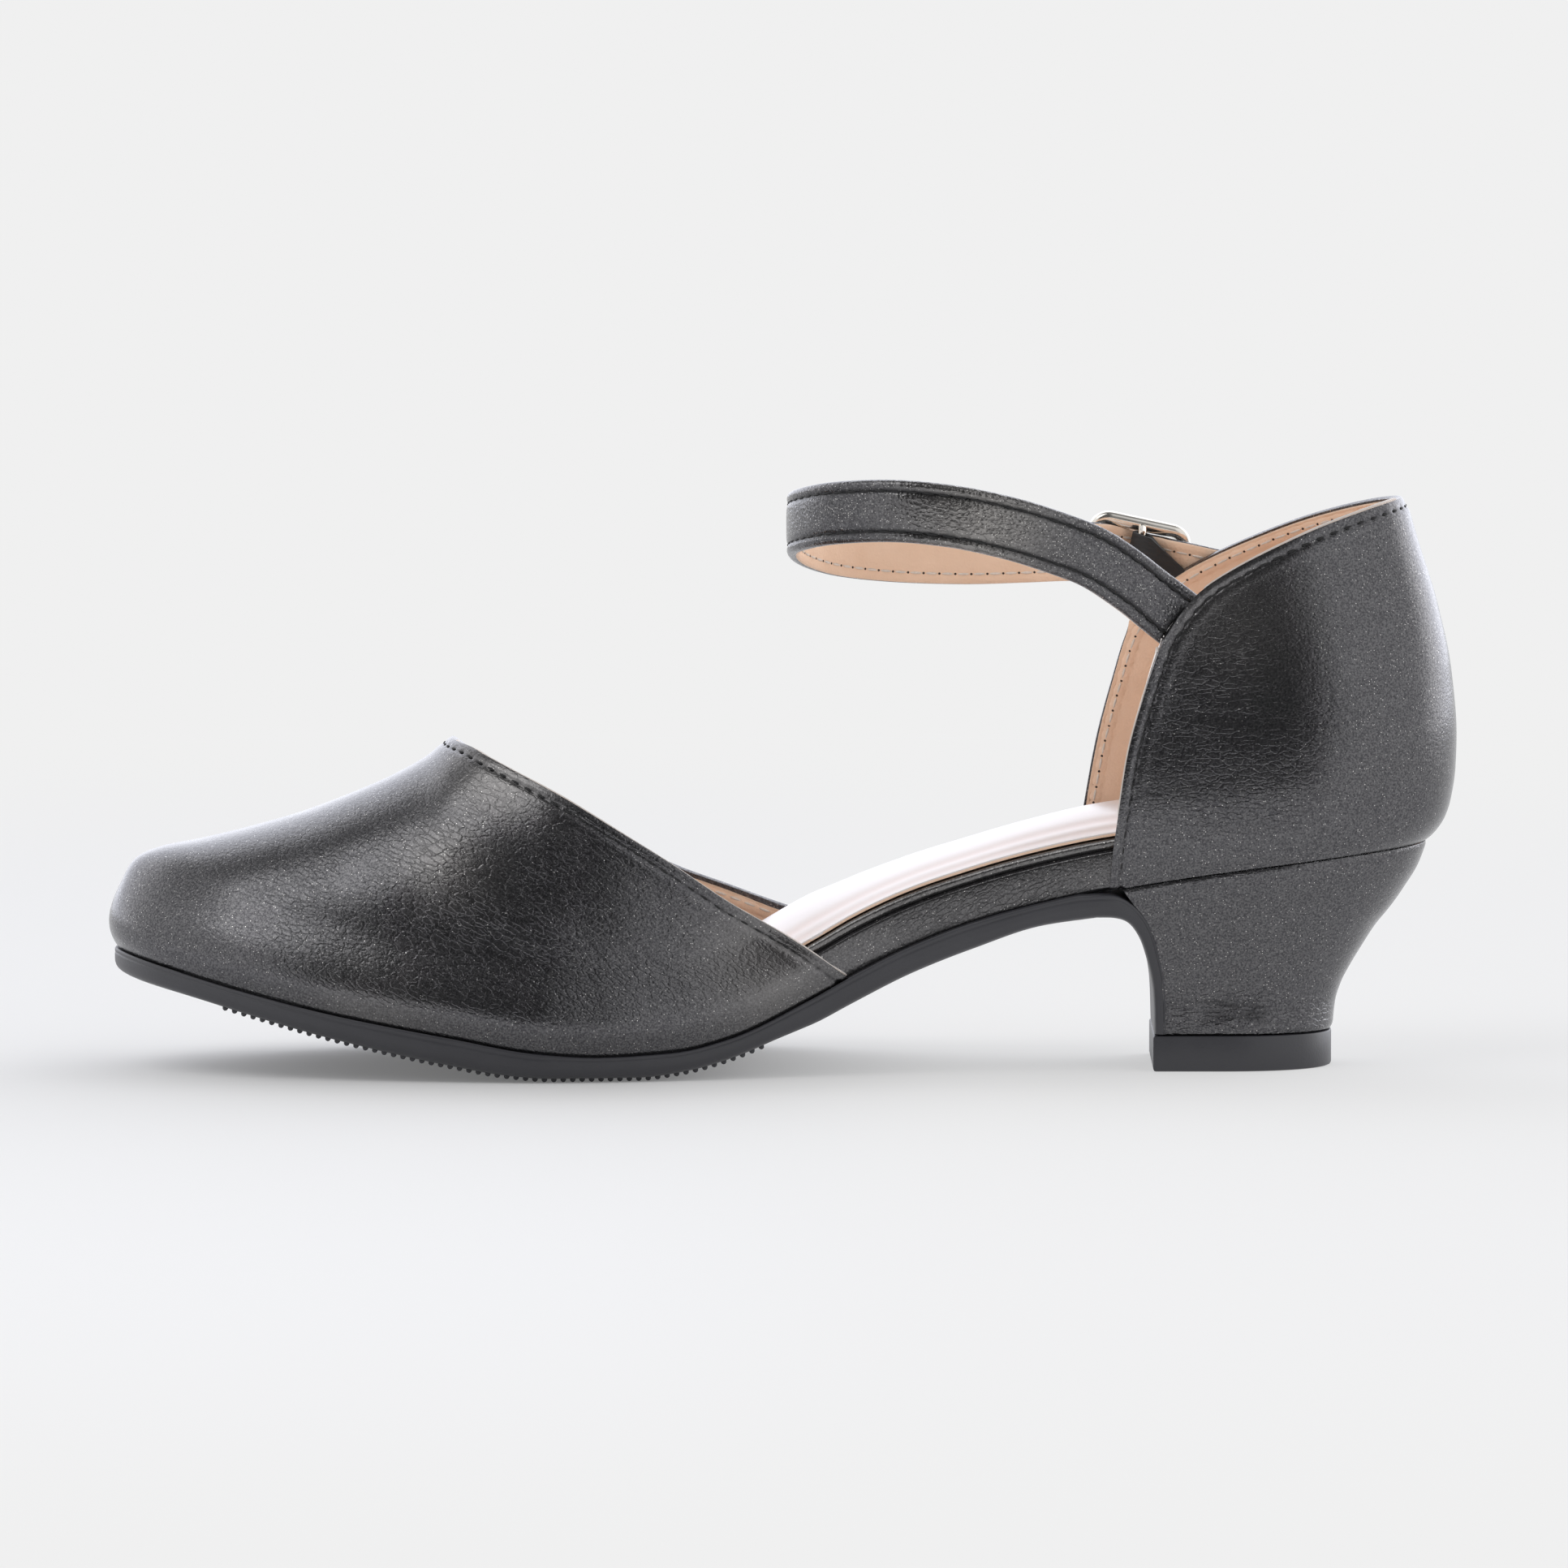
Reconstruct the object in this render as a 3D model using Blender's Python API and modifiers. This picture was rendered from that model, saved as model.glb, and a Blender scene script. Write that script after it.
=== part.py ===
"""Two-piece pump with an ankle strap and a low curved heel: one shoe for the right foot.

The shoe stands on the ball of its sole and on its heel. The toe points to -X, the heel to +X,
the inner side of the foot to -Y. Tables are in millimetres, meshes are made in metres.
"""
import math
from bisect import bisect_right
from collections import namedtuple

import bmesh
import bpy
from mathutils import Matrix, Vector

OBJECT_NAME = "ankle_strap_pump"
MM = 0.001

# Driving dimensions
TOE_X = -121.0              # bottom edge of the last, at the toe and at the heel
HEEL_X = 116.9
END_STEP = 0.02             # lofts stop this far short of the last's pointed ends
GAP = 0.3                   # between pieces that meet
UPPER_WALL = 1.6            # vamp and quarter: leather, stiffener and lining
TOE_BULGE = 2.2             # how far the vamp swells out over its bottom edge
TOE_BULGE_RISE = 18.0       # height at which that swelling has gone again
SOLE_MARGIN = 0.9           # outsole beyond the last's bottom edge
SOLE_PLATE_BACK = 53.5      # behind it the outsole turns down over the heel's front
BOARD_INSET = 2.2           # wrapped board inside the last's bottom edge
INSOLE_EDGE = 0.9           # thickness of the insole at its rim
CROWN_POWER = 2.4           # higher is flatter across
HEEL_SEAT_FRONT = 62.2
HEEL_BOTTOM = 6.8           # the covered heel ends here, on top of the top lift
TOP_LIFT_HEIGHT = 6.5
TOP_LIFT_FRONT = 67.0
TOP_LIFT_BACK = 99.8
TOP_LIFT_HALF = 17.1
THROAT_PEAK_X = -61.0       # highest point of the vamp's open edge
QUARTER_RISE = 62.6         # collar above the heel seat, at the back
QUARTER_TOP_BACK = 112.3
QUARTER_CORNER_Z = 79.6     # top of the quarter's front edges
NOSE_BOTTOM = 34.0          # length of the round back of quarter and heel
NOSE_TOP = 30.0
NOSE_HEEL = 20.0
NOSE_POWER = 2.2
STRAP_WIDTH = 11.3
STRAP_THICK = 2.4
TAB_WIDTH = 9.0
TAB_LOOP = 2.1              # outer radius of the tab's loop round the bar
BUCKLE_CENTRE = Vector((64.5, 25.2, 90.2))
BUCKLE_ALONG = Vector((16.4, 1.3, -3.6))      # from the front bar to the rear bar
BUCKLE_LEAN = -0.16         # the ankle narrows upwards: shift in y for each mm of height
BUCKLE_HALF_LENGTH = 8.4    # to the wire's centre line
BUCKLE_HALF_HEIGHT = 6.9
BUCKLE_CORNER = 2.6
BUCKLE_WIRE = 1.0           # radius
BAR_WIRE = 0.75
BAR_SET_BACK = 2.6          # the bar lies closer to the ankle than the frame
BAR_FOOT = 0.6              # slant of the bar's ends, up to the frame
PRONG_WIRE = 0.75
PRONG_HOLE = 1.3            # radius of the strap's hole round the prong
PRONG_EYE = 1.75            # outer radius of the prong's eye round the bar
SLOT_SIZE = Vector((5.0, 2.4, 4.4))           # in the tab's loop, for the prong's eye
SLOT_PLACE = Vector((-0.4, 0.0, -2.6))

# Mesh resolution
VAMP_LONG = 24
VAMP_ROUND = 36
QUARTER_ROUND = 36
QUARTER_HIGH = 13
BODY_STATIONS = 40
INSOLE_ACROSS = 8
HEEL_LEVELS = 11
HEEL_ROUND = 28

# The last's bottom: y of both edges, height of the seat that the upper stands on, thickness
# of the wrapped board on it, height of the insole's crown and inset of the insole's rim
Last = namedtuple("Last", "x medial lateral seat board crown sock")
LAST = (
    Last(-121.0, -3.0, -3.0, 21.1, 2.2, 0.8, 2.2),
    Last(-118.0, -14.0, 8.0, 20.4, 2.2, 1.0, 2.0),
    Last(-112.0, -21.5, 16.0, 19.0, 2.3, 1.4, 1.8),
    Last(-98.6, -30.0, 26.0, 15.6, 2.4, 1.8, 1.6),
    Last(-81.0, -35.2, 32.8, 11.5, 2.6, 2.0, 1.5),
    Last(-60.0, -38.0, 36.8, 7.6, 3.0, 2.2, 1.4),
    Last(-45.0, -38.5, 38.3, 4.9, 3.6, 2.4, 1.4),
    Last(-33.5, -37.3, 38.6, 4.1, 4.8, 2.6, 1.5),
    Last(-20.0, -34.5, 37.6, 4.7, 6.6, 2.8, 1.7),
    Last(-10.0, -31.7, 35.8, 6.9, 8.4, 4.0, 2.2),
    Last(5.0, -27.7, 32.5, 13.8, 10.1, 4.8, 3.0),
    Last(12.5, -26.0, 30.8, 17.9, 10.2, 4.2, 3.2),
    Last(23.0, -24.3, 28.7, 23.0, 9.8, 3.4, 3.2),
    Last(34.5, -23.2, 27.0, 27.3, 9.3, 3.2, 3.2),
    Last(46.5, -23.0, 25.8, 30.6, 9.3, 3.4, 3.2),
    Last(57.0, -23.4, 25.2, 32.9, 9.3, 3.6, 3.0),
    Last(79.0, -24.2, 24.2, 36.5, 8.4, 2.8, 1.4),
    Last(105.0, -19.4, 19.4, 39.7, 7.2, 2.2, 0.2),
    Last(112.0, -13.6, 13.6, 40.4, 7.0, 1.8, -0.8),
    Last(116.9, 0.0, 0.0, 40.9, 7.0, 1.4, -1.4),
)

# Underside of the outsole, flat on the floor under the ball
Under = namedtuple("Under", "x z")
SOLE_UNDER = (
    Under(-121.0, 17.3), Under(-112.0, 15.1), Under(-98.6, 11.4), Under(-81.0, 6.8),
    Under(-60.0, 2.3), Under(-50.0, 0.6), Under(-42.0, 0.0), Under(-26.0, 0.0),
    Under(-18.0, 0.9), Under(-10.0, 2.9), Under(5.0, 9.4), Under(12.5, 13.3),
    Under(23.0, 18.5), Under(34.5, 23.0), Under(46.5, 27.0), Under(57.0, 28.6),
)

# The outsole's tongue down the front of the heel: inner and outer line, half-width
Breast = namedtuple("Breast", "inner_x inner_z outer_x outer_z half")
BREAST = (
    Breast(57.0, 32.9, 56.6, 28.6, 24.9),
    Breast(60.2, 32.6, 59.7, 28.5, 24.5),
    Breast(63.0, 31.0, 61.9, 27.8, 23.6),
    Breast(65.3, 28.4, 63.4, 26.3, 22.4),
    Breast(66.9, 25.0, 64.7, 23.9, 21.2),
    Breast(68.0, 21.0, 65.8, 20.4, 19.9),
    Breast(68.8, 17.2, 66.6, 16.9, 18.7),
    Breast(69.2, 13.4, 67.0, 13.2, 17.8),
    Breast(69.3, HEEL_BOTTOM, 67.2, HEEL_BOTTOM, 17.0),
)

# Edge of the plate-like pieces, from bottom to top: share of the height, inset
Edge = namedtuple("Edge", "level inset")
SOLE_EDGE = (Edge(0.0, 2.2), Edge(0.1, 0.9), Edge(0.34, 0.15), Edge(0.7, 0.0), Edge(1.0, 0.35))
BOARD_EDGE = (
    Edge(0.0, 0.7), Edge(0.12, 0.1), Edge(0.66, 0.15), Edge(0.76, 0.65),
    Edge(0.84, 0.1), Edge(0.93, 0.15), Edge(1.0, 0.9),
)

# Crest of the last over toe, ball and instep. The rows behind the throat's peak carry the
# same last on through the foot opening, to guide the sides of the vamp.
Ridge = namedtuple("Ridge", "x z y fullness")
RIDGE = (
    Ridge(-121.0, 21.1, -3.0, 2.4),
    Ridge(-119.9, 32.6, -3.1, 2.4),
    Ridge(-119.0, 36.1, -3.2, 2.4),
    Ridge(-117.6, 37.8, -3.4, 2.4),
    Ridge(-113.3, 39.6, -3.8, 2.4),
    Ridge(-105.9, 41.1, -4.4, 2.35),
    Ridge(-91.2, 44.9, -5.2, 2.25),
    Ridge(-76.4, 50.4, -5.8, 2.15),
    Ridge(THROAT_PEAK_X, 59.0, -6.0, 2.05),
    Ridge(-45.0, 68.0, -5.6, 2.0),
    Ridge(-10.0, 84.0, -4.4, 2.0),
    Ridge(20.0, 95.0, -3.0, 2.0),
)

# The vamp's open edge in the side view, on the inner and outer side of the foot
Throat = namedtuple("Throat", "x medial lateral")
THROAT = (
    Throat(THROAT_PEAK_X, 59.0, 59.0),
    Throat(-50.0, 55.6, 51.6),
    Throat(-40.0, 50.7, 44.6),
    Throat(-30.0, 44.8, 38.2),
    Throat(-20.0, 38.6, 33.0),
    Throat(-10.0, 31.8, 29.4),
    Throat(0.0, 25.8, 25.8),
    Throat(12.0, 17.3, 21.6),
    Throat(20.0, 11.5, 18.6),
)

# The quarter's back line over the heel seat, with the half-width of the heel at that height
Back = namedtuple("Back", "rise x half")
QUARTER_BACK = (
    Back(0.0, 117.1, 24.2),
    Back(1.1, 118.4, 24.7),
    Back(4.0, 120.4, 25.4),
    Back(7.0, 121.4, 25.8),
    Back(13.0, 122.3, 26.0),
    Back(19.0, 122.5, 25.6),
    Back(31.0, 121.5, 23.7),
    Back(43.0, 119.0, 21.4),
    Back(55.0, 115.3, 19.2),
    Back(60.2, 113.7, 18.3),
    Back(QUARTER_RISE, QUARTER_TOP_BACK, 17.9),
)

# The quarter's front edges, from the sole (0) to their top corner (1)
Front = namedtuple("Front", "level medial lateral")
QUARTER_FRONT = (
    Front(0.0, 58.9, 52.9),
    Front(0.16, 59.5, 54.3),
    Front(0.32, 60.5, 55.5),
    Front(0.54, 62.1, 57.4),
    Front(0.76, 64.9, 60.1),
    Front(0.95, 67.9, 62.9),
    Front(1.0, 69.0, 64.4),
)

# The collar, from the middle of the back (0) to the front corner (1)
Collar = namedtuple("Collar", "share z")
COLLAR = (
    Collar(0.0, 103.5), Collar(0.09, 102.6), Collar(0.33, 99.3), Collar(0.56, 95.0),
    Collar(0.73, 91.2), Collar(0.85, 87.8), Collar(0.92, 84.6), Collar(1.0, QUARTER_CORNER_Z),
)
Flare = namedtuple("Flare", "bottom top")
FLARE = {"medial": Flare(-0.8, 2.0), "lateral": Flare(1.0, 2.0)}

# The covered heel from its seat (0) to its bottom (1)
Heel = namedtuple("Heel", "drop front back half")
HEEL = (
    Heel(0.0, HEEL_SEAT_FRONT, 117.2, 23.9),
    Heel(0.126, 64.4, 115.5, 23.0),
    Heel(0.232, 66.3, 113.2, 22.0),
    Heel(0.334, 67.5, 110.7, 21.1),
    Heel(0.44, 68.3, 107.7, 20.2),
    Heel(0.545, 68.9, 105.4, 19.3),
    Heel(0.648, 69.4, 103.3, 18.5),
    Heel(0.754, 69.6, 101.5, 17.8),
    Heel(0.856, 69.7, 100.5, 17.3),
    Heel(1.0, 69.8, 100.0, 17.0),
)

# The strap's centre line from inside the quarter round the ankle, through the buckle to its
# end. It leans with the ankle: shift in y for each mm of height.
Path = namedtuple("Path", "x y z lean")
STRAP = (
    Path(78.0, -18.8, 77.4, 0.16),
    Path(72.5, -18.5, 81.6, 0.16),
    Path(67.5, -18.9, 85.5, 0.14),
    Path(62.4, -20.8, 89.6, 0.10),
    Path(56.0, -23.3, 93.9, 0.06),
    Path(49.0, -25.6, 96.8, 0.03),
    Path(41.0, -27.2, 99.4, 0.0),
    Path(31.0, -28.2, 101.6, 0.0),
    Path(20.0, -27.0, 102.6, 0.0),
    Path(9.5, -21.6, 101.9, 0.0),
    Path(3.4, -12.0, 100.2, 0.0),
    Path(1.6, -2.0, 98.4, 0.0),
    Path(3.9, 8.0, 95.8, 0.0),
    Path(9.8, 18.0, 93.4, 0.0),
    Path(20.0, 25.0, 91.8, 0.0),
    Path(33.0, 27.4, 91.2, -0.04),
    Path(44.0, 25.8, 91.6, -0.10),
    Path(51.5, 22.5, 92.1, -0.16),
    Path(56.7, 21.2, 91.9, -0.16),
    Path(60.2, 24.0, 91.2, -0.16),
    Path(64.2, 26.9, 90.3, -0.16),
    Path(68.7, 24.8, 89.3, -0.16),
    Path(72.4, 22.9, 88.4, -0.16),
    Path(80.0, 22.6, 86.6, -0.17),
    Path(90.0, 22.7, 84.2, -0.19),
    Path(96.5, 22.4, 82.6, -0.21),
    Path(99.5, 22.1, 81.9, -0.22),
)
STRAP_STEPS = 2
STRAP_TIP = (1.0, 0.86, 0.5)         # width of the last stations, for the rounded end

# The tab's two faces in the buckle's frame (along, out), from inside the quarter to its loop
TAB_OUTER_FACE = ((12.8, -7.4), (6.6, -7.0), (3.4, -6.8), (2.2, -6.2))
TAB_INNER_FACE = ((-0.2, -5.0), (1.2, -7.2), (2.8, -8.3), (6.6, -8.75), (12.8, -9.25))

# The prong in the buckle's own frame: along, up, out
PRONG = (Vector((-1.2, 0.0, -2.4)), Vector((-3.2, 0.0, -1.2)), Vector((-5.4, 0.0, 1.4)),
         Vector((-8.4, 0.0, 2.15)), Vector((-10.2, 0.0, 1.7)))


def column(table, name, key="x", warp=float):
    """A smooth function through one column of a table, which never overshoots its rows."""
    keys = [warp(getattr(row, key)) for row in table]
    values = [getattr(row, name) for row in table]
    secants = [(b - a) / (q - p) for a, b, p, q in zip(values, values[1:], keys, keys[1:])]
    slopes = [secants[0]]
    for before, after in zip(secants, secants[1:]):
        turning = before * after <= 0
        slopes.append(0.0 if turning else 2 * before * after / (before + after))
    slopes.append(secants[-1])

    def at(place):
        place = min(max(warp(place), keys[0]), keys[-1])
        i = min(bisect_right(keys, place), len(keys) - 1) - 1
        span = keys[i + 1] - keys[i]
        s = (place - keys[i]) / span
        start = values[i] * (1 + 2 * s) + slopes[i] * span * s
        end = values[i + 1] * (3 - 2 * s) + slopes[i + 1] * span * (s - 1)
        return start * (1 - s) ** 2 + end * s * s

    return at


def foot_turn(x):
    """0 at the toe, pi at the heel. A width that is smooth in it ends in a round nose."""
    along = (x - TOE_X) / (HEEL_X - TOE_X)
    return math.acos(max(-1.0, min(1.0, 1 - 2 * along)))


def mix(a, b, share):
    return a + (b - a) * share


medial_edge = column(LAST, "medial", warp=foot_turn)
lateral_edge = column(LAST, "lateral", warp=foot_turn)
seat = column(LAST, "seat")
board_height = column(LAST, "board")
crown = column(LAST, "crown")
sock_inset = column(LAST, "sock")
sole_under = column(SOLE_UNDER, "z")
ridge_z = column(RIDGE, "z", warp=foot_turn)
ridge_y = column(RIDGE, "y")
fullness = column(RIDGE, "fullness")
throat_medial = column(THROAT, "medial")
throat_lateral = column(THROAT, "lateral")
back_x = column(QUARTER_BACK, "x", key="rise")
heel_half = column(QUARTER_BACK, "half", key="rise")
front_medial = column(QUARTER_FRONT, "medial", key="level")
front_lateral = column(QUARTER_FRONT, "lateral", key="level")
collar_z = column(COLLAR, "z", key="share")


# Scene, collections and materials
for old in list(bpy.data.objects):
    bpy.data.objects.remove(old, do_unlink=True)

parts = bpy.data.collections.new(OBJECT_NAME)
cutters = bpy.data.collections.new("cutters")
for group in (parts, cutters):
    bpy.context.scene.collection.children.link(group)
cutters.hide_render = True


def material(name, colour, roughness, metallic=0.0):
    made = bpy.data.materials.new(name)
    made.use_nodes = True
    shader = made.node_tree.nodes["Principled BSDF"]
    shader.inputs["Base Color"].default_value = (*colour, 1.0)
    shader.inputs["Roughness"].default_value = roughness
    shader.inputs["Metallic"].default_value = metallic
    return made


def add_object(name, data, look, group=parts):
    made = bpy.data.objects.new(name, data)
    data.materials.append(look)
    group.objects.link(made)
    return made


def mesh_from(bm, name):
    mesh = bpy.data.meshes.new(name)
    bm.to_mesh(mesh)
    bm.free()
    return mesh


def loft(name, rings, look, group=parts):
    """A solid through closed rings of the same number of points, capped at both ends."""
    bm = bmesh.new()
    rows = [[bm.verts.new(Vector(point) * MM) for point in ring] for ring in rings]
    for row, following in zip(rows, rows[1:]):
        for i in range(len(row)):
            before = i - 1
            bm.faces.new((row[before], row[i], following[i], following[before]))
    bm.faces.new(rows[0])
    bm.faces.new(rows[-1][::-1])
    bmesh.ops.recalc_face_normals(bm, faces=bm.faces)
    return add_object(name, mesh_from(bm, name), look, group)


def shell(name, across, along, point, look):
    """A wall whose outer face is a grid mapped by point(u, v), thickened inwards."""
    bm = bmesh.new()
    bmesh.ops.create_grid(bm, x_segments=across, y_segments=along, size=0.5)
    for vert in bm.verts:
        vert.co = Vector(point(vert.co.x + 0.5, vert.co.y + 0.5)) * MM
    bmesh.ops.remove_doubles(bm, verts=bm.verts, dist=0.01 * MM)
    made = add_object(name, mesh_from(bm, name), look)
    wall = made.modifiers.new("wall", "SOLIDIFY")
    wall.thickness = UPPER_WALL * MM
    wall.offset = -1.0
    return made


def apply_modifiers(made):
    evaluated = made.evaluated_get(bpy.context.evaluated_depsgraph_get())
    mesh = bpy.data.meshes.new_from_object(evaluated)
    made.modifiers.clear()
    made.data = mesh


def combine(made, other, operation):
    """Join another solid to this one, or cut it away."""
    change = made.modifiers.new(operation.lower(), "BOOLEAN")
    change.operation = operation
    change.solver = "EXACT"
    change.object = other
    if operation == "DIFFERENCE":
        other.display_type = "WIRE"
        other.hide_render = True
    bpy.context.view_layer.update()


# Outsole: moulded plate from the toe to the heel breast, turned down over the heel's front
def rim(edge, x, inset):
    """A point (x, y) on an edge of the last's bottom, moved inwards at right angles to it."""
    step = 0.05
    slope = (edge(x + step) - edge(x)) / step
    inwards = inset / math.hypot(slope, 1.0) * (1 if edge is medial_edge else -1)
    return x - inwards * slope, edge(x) + inwards


def plate_ring(x, bottom, top, inset, profile):
    """Section of a plate on the last's bottom between two heights, with a shaped edge."""
    sides = []
    for edge in (medial_edge, lateral_edge):
        places = [(row.level, *rim(edge, x, inset + row.inset)) for row in profile]
        sides.append([(a, y, mix(bottom(a), top(a), level)) for level, a, y in places])
    return sides[0] + sides[1][::-1]


def breast_ring(row):
    """Section of the tongue, across from its outer to its inner face."""
    medial = []
    for edge in SOLE_EDGE:
        x = mix(row.outer_x, row.inner_x, edge.level)
        z = mix(row.outer_z, row.inner_z, edge.level)
        medial.append((x, edge.inset - row.half, z))
    return medial + [(x, -y, z) for x, y, z in reversed(medial)]


def stations(first, last, count):
    """Places along the foot, closer together at its round ends."""
    turns = [foot_turn(first), foot_turn(last)]
    for i in range(count + 1):
        turn = mix(turns[0], turns[1], i / count)
        yield mix(TOE_X, HEEL_X, (1 - math.cos(turn)) / 2)


black_sole = material("black_rubber", (0.02, 0.02, 0.021), 0.5)
sole_rings = [plate_ring(x, sole_under, seat, -SOLE_MARGIN, SOLE_EDGE)
              for x in stations(TOE_X + END_STEP, SOLE_PLATE_BACK, BODY_STATIONS)]
sole_rings += [breast_ring(row) for row in BREAST]
loft("outsole", sole_rings, black_sole)


# Quarter: back of the upper, from one side of the waist round the heel to the other
def nose(distance, length):
    """Share of the full half-width at a distance from the back of the heel."""
    ahead = max(0.0, 1 - distance / length)
    return (1 - ahead ** NOSE_POWER) ** (1 / NOSE_POWER)


def quarter_point(u, v):
    side = "medial" if u < 0.5 else "lateral"
    front = front_medial if u < 0.5 else front_lateral
    share = 1 - math.cos(abs(2 * u - 1) * math.pi / 2)
    rear = back_x(v * QUARTER_RISE)
    x = mix(rear, front(v), share)
    bottom = seat(mix(HEEL_X, front(0), share)) + GAP
    z = mix(bottom, collar_z(share), v)
    half = heel_half(z - bottom) * nose(rear - x, mix(NOSE_BOTTOM, NOSE_TOP, v))
    half += mix(FLARE[side].bottom, FLARE[side].top, v) * share ** 3
    return x, -half if u < 0.5 else half, z


dark_leather = material("metallic_leather", (0.055, 0.057, 0.062), 0.42, 0.35)
shell("quarter", QUARTER_ROUND, QUARTER_HIGH, quarter_point, dark_leather)


# Vamp: closed front of the upper, lasted over toe and ball, cut out at the throat
def vamp_height(x, turn):
    lift = math.sin(turn) ** (2 / fullness(x))
    return mix(seat(x), ridge_z(x), lift) + GAP


def throat_end(turn):
    """Place along the foot where the vamp's open edge crosses this line of the last."""
    throat = throat_medial if turn < math.pi / 2 else throat_lateral
    low, high = THROAT_PEAK_X, THROAT[-1].x
    for _ in range(40):
        middle = (low + high) / 2
        if vamp_height(middle, turn) < throat(middle) + GAP:
            low = middle
        else:
            high = middle
    return low


def vamp_point(u, v):
    """From the toe (u 0) to the open edge (u 1), from the medial (v 0) to the lateral side."""
    turn = math.pi * v
    edge = medial_edge if v < 0.5 else lateral_edge
    outward = -1 if v < 0.5 else 1
    x = mix(TOE_X, throat_end(turn), 1 - math.cos(u * math.pi / 2))
    reach = max(0.0, abs(math.cos(turn))) ** (2 / fullness(x))
    y = mix(ridge_y(x), edge(x), reach)
    z = vamp_height(x, turn)
    step = 0.25
    slope = (edge(x + step) - edge(x)) / step * outward
    rise = min(1.0, (z - seat(x) - GAP) / TOE_BULGE_RISE)
    swell = TOE_BULGE * 27 / 4 * rise * (1 - rise) ** 2
    length = math.hypot(slope, 1.0)
    return x - swell * slope / length, y + outward * swell * reach / length, z


shell("vamp", VAMP_LONG, VAMP_ROUND, vamp_point, dark_leather)


# Wrapped board: cushioned board whose edge is turned in and beaded, seen at the open waist
def board_bottom(x):
    return seat(x) + GAP


def board_top(x):
    return board_bottom(x) + board_height(x)


board_rings = [plate_ring(x, board_bottom, board_top, BOARD_INSET, BOARD_EDGE)
               for x in stations(TOE_X + END_STEP, HEEL_X - END_STEP, BODY_STATIONS)]
loft("wrapped_board", board_rings, dark_leather)

# Insole: padded sock with a crowned top, glued on the board
rose = material("rose_pearl", (0.72, 0.58, 0.52), 0.35, 0.3)


def insole_ring(x):
    medial, lateral = (Vector(rim(edge, x, sock_inset(x))) for edge in (medial_edge, lateral_edge))
    under = [(*point, board_top(point.x) + GAP) for point in (medial, lateral)]
    over = []
    for i in range(INSOLE_ACROSS + 1):
        place = 2 * i / INSOLE_ACROSS - 1
        a, y = mix(lateral, medial, i / INSOLE_ACROSS)
        rise = INSOLE_EDGE + crown(x) * (1 - abs(place) ** CROWN_POWER)
        over.append((a, y, board_top(a) + GAP + rise))
    return under + over


insole_rings = [insole_ring(x)
                for x in stations(TOE_X + END_STEP, HEEL_X - END_STEP, BODY_STATIONS)]
loft("insole", insole_rings, rose)

# Heel: covered block, round at the back, with a concave back line and a slanting seat
heel_front = column(HEEL, "front", key="drop")
heel_back = column(HEEL, "back", key="drop")
heel_width = column(HEEL, "half", key="drop")


def heel_ring(front, back, half, length, height):
    """A D-shaped section: straight across the front, round at the back."""
    ring = []
    for i in range(HEEL_ROUND + 1):
        t = 2 * i / HEEL_ROUND - 1
        x = mix(back, front, 1 - math.cos(t * math.pi / 2))
        y = math.copysign(half * nose(back - x, length), t)
        ring.append((x, y, height(x)))
    return ring


heel_rings = []
for i in range(HEEL_LEVELS + 1):
    drop = i / HEEL_LEVELS
    heel_rings.append(heel_ring(heel_front(drop), heel_back(drop), heel_width(drop),
                                mix(NOSE_BOTTOM, NOSE_HEEL, drop),
                                lambda x: mix(seat(x), HEEL_BOTTOM, drop)))
loft("heel", heel_rings, dark_leather)

# Top lift: hard floor piece under the heel, with a broken edge
LIFT_EDGE = 0.5
lift_rings = []
for height, inset in ((0.0, LIFT_EDGE), (LIFT_EDGE, 0.0), (TOP_LIFT_HEIGHT, 0.0)):
    lift_rings.append(heel_ring(TOP_LIFT_FRONT + inset, TOP_LIFT_BACK - inset,
                                TOP_LIFT_HALF - inset, NOSE_HEEL, lambda x: height))
loft("top_lift", lift_rings, black_sole)


# Ankle strap: lined band round the ankle, standing on its edge
def curve_through(table, steps):
    """Points on a smooth path through the rows of a table."""
    rows = [Vector(row) for row in table]
    points = []
    for i in range(len(rows) - 1):
        a, b = rows[i], rows[i + 1]
        start = (b - rows[i - 1]) / 2 if i else b - a
        end = (rows[i + 2] - a) / 2 if i + 2 < len(rows) else b - a
        for step in range(steps):
            s = step / steps
            points.append((a * (1 + 2 * s) + start * s) * (1 - s) ** 2
                          + (b * (3 - 2 * s) + end * (s - 1)) * s * s)
    points.append(rows[-1])
    return points


def upright(ahead, lean):
    """The direction across a band that stands on its edge and leans in y."""
    up = Vector((0.0, lean, 1.0))
    return (up - ahead * up.dot(ahead)).normalized()


def band_rings(points, width, thick, tip=()):
    """Rounded flat sections along a path whose rows also give the lean."""
    widths = [1.0] * (len(points) - len(tip)) + list(tip)
    rings = []
    for i, point in enumerate(points):
        before, after = points[max(i - 1, 0)], points[min(i + 1, len(points) - 1)]
        ahead = (after - before).to_3d().normalized()
        up = upright(ahead, point[3])
        out = ahead.cross(up)
        high, deep, soft = width / 2 * widths[i], thick / 2, thick / 4
        corners = ((high, deep - soft), (high - soft, deep), (soft - high, deep), (-high, deep - soft),
                   (-high, soft - deep), (soft - high, -deep), (high - soft, -deep), (high, soft - deep))
        rings.append([point.to_3d() + up * a + out * b for a, b in corners])
    return rings


strap = loft("ankle_strap",
             band_rings(curve_through(STRAP, STRAP_STEPS), STRAP_WIDTH, STRAP_THICK, STRAP_TIP),
             dark_leather)

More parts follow.
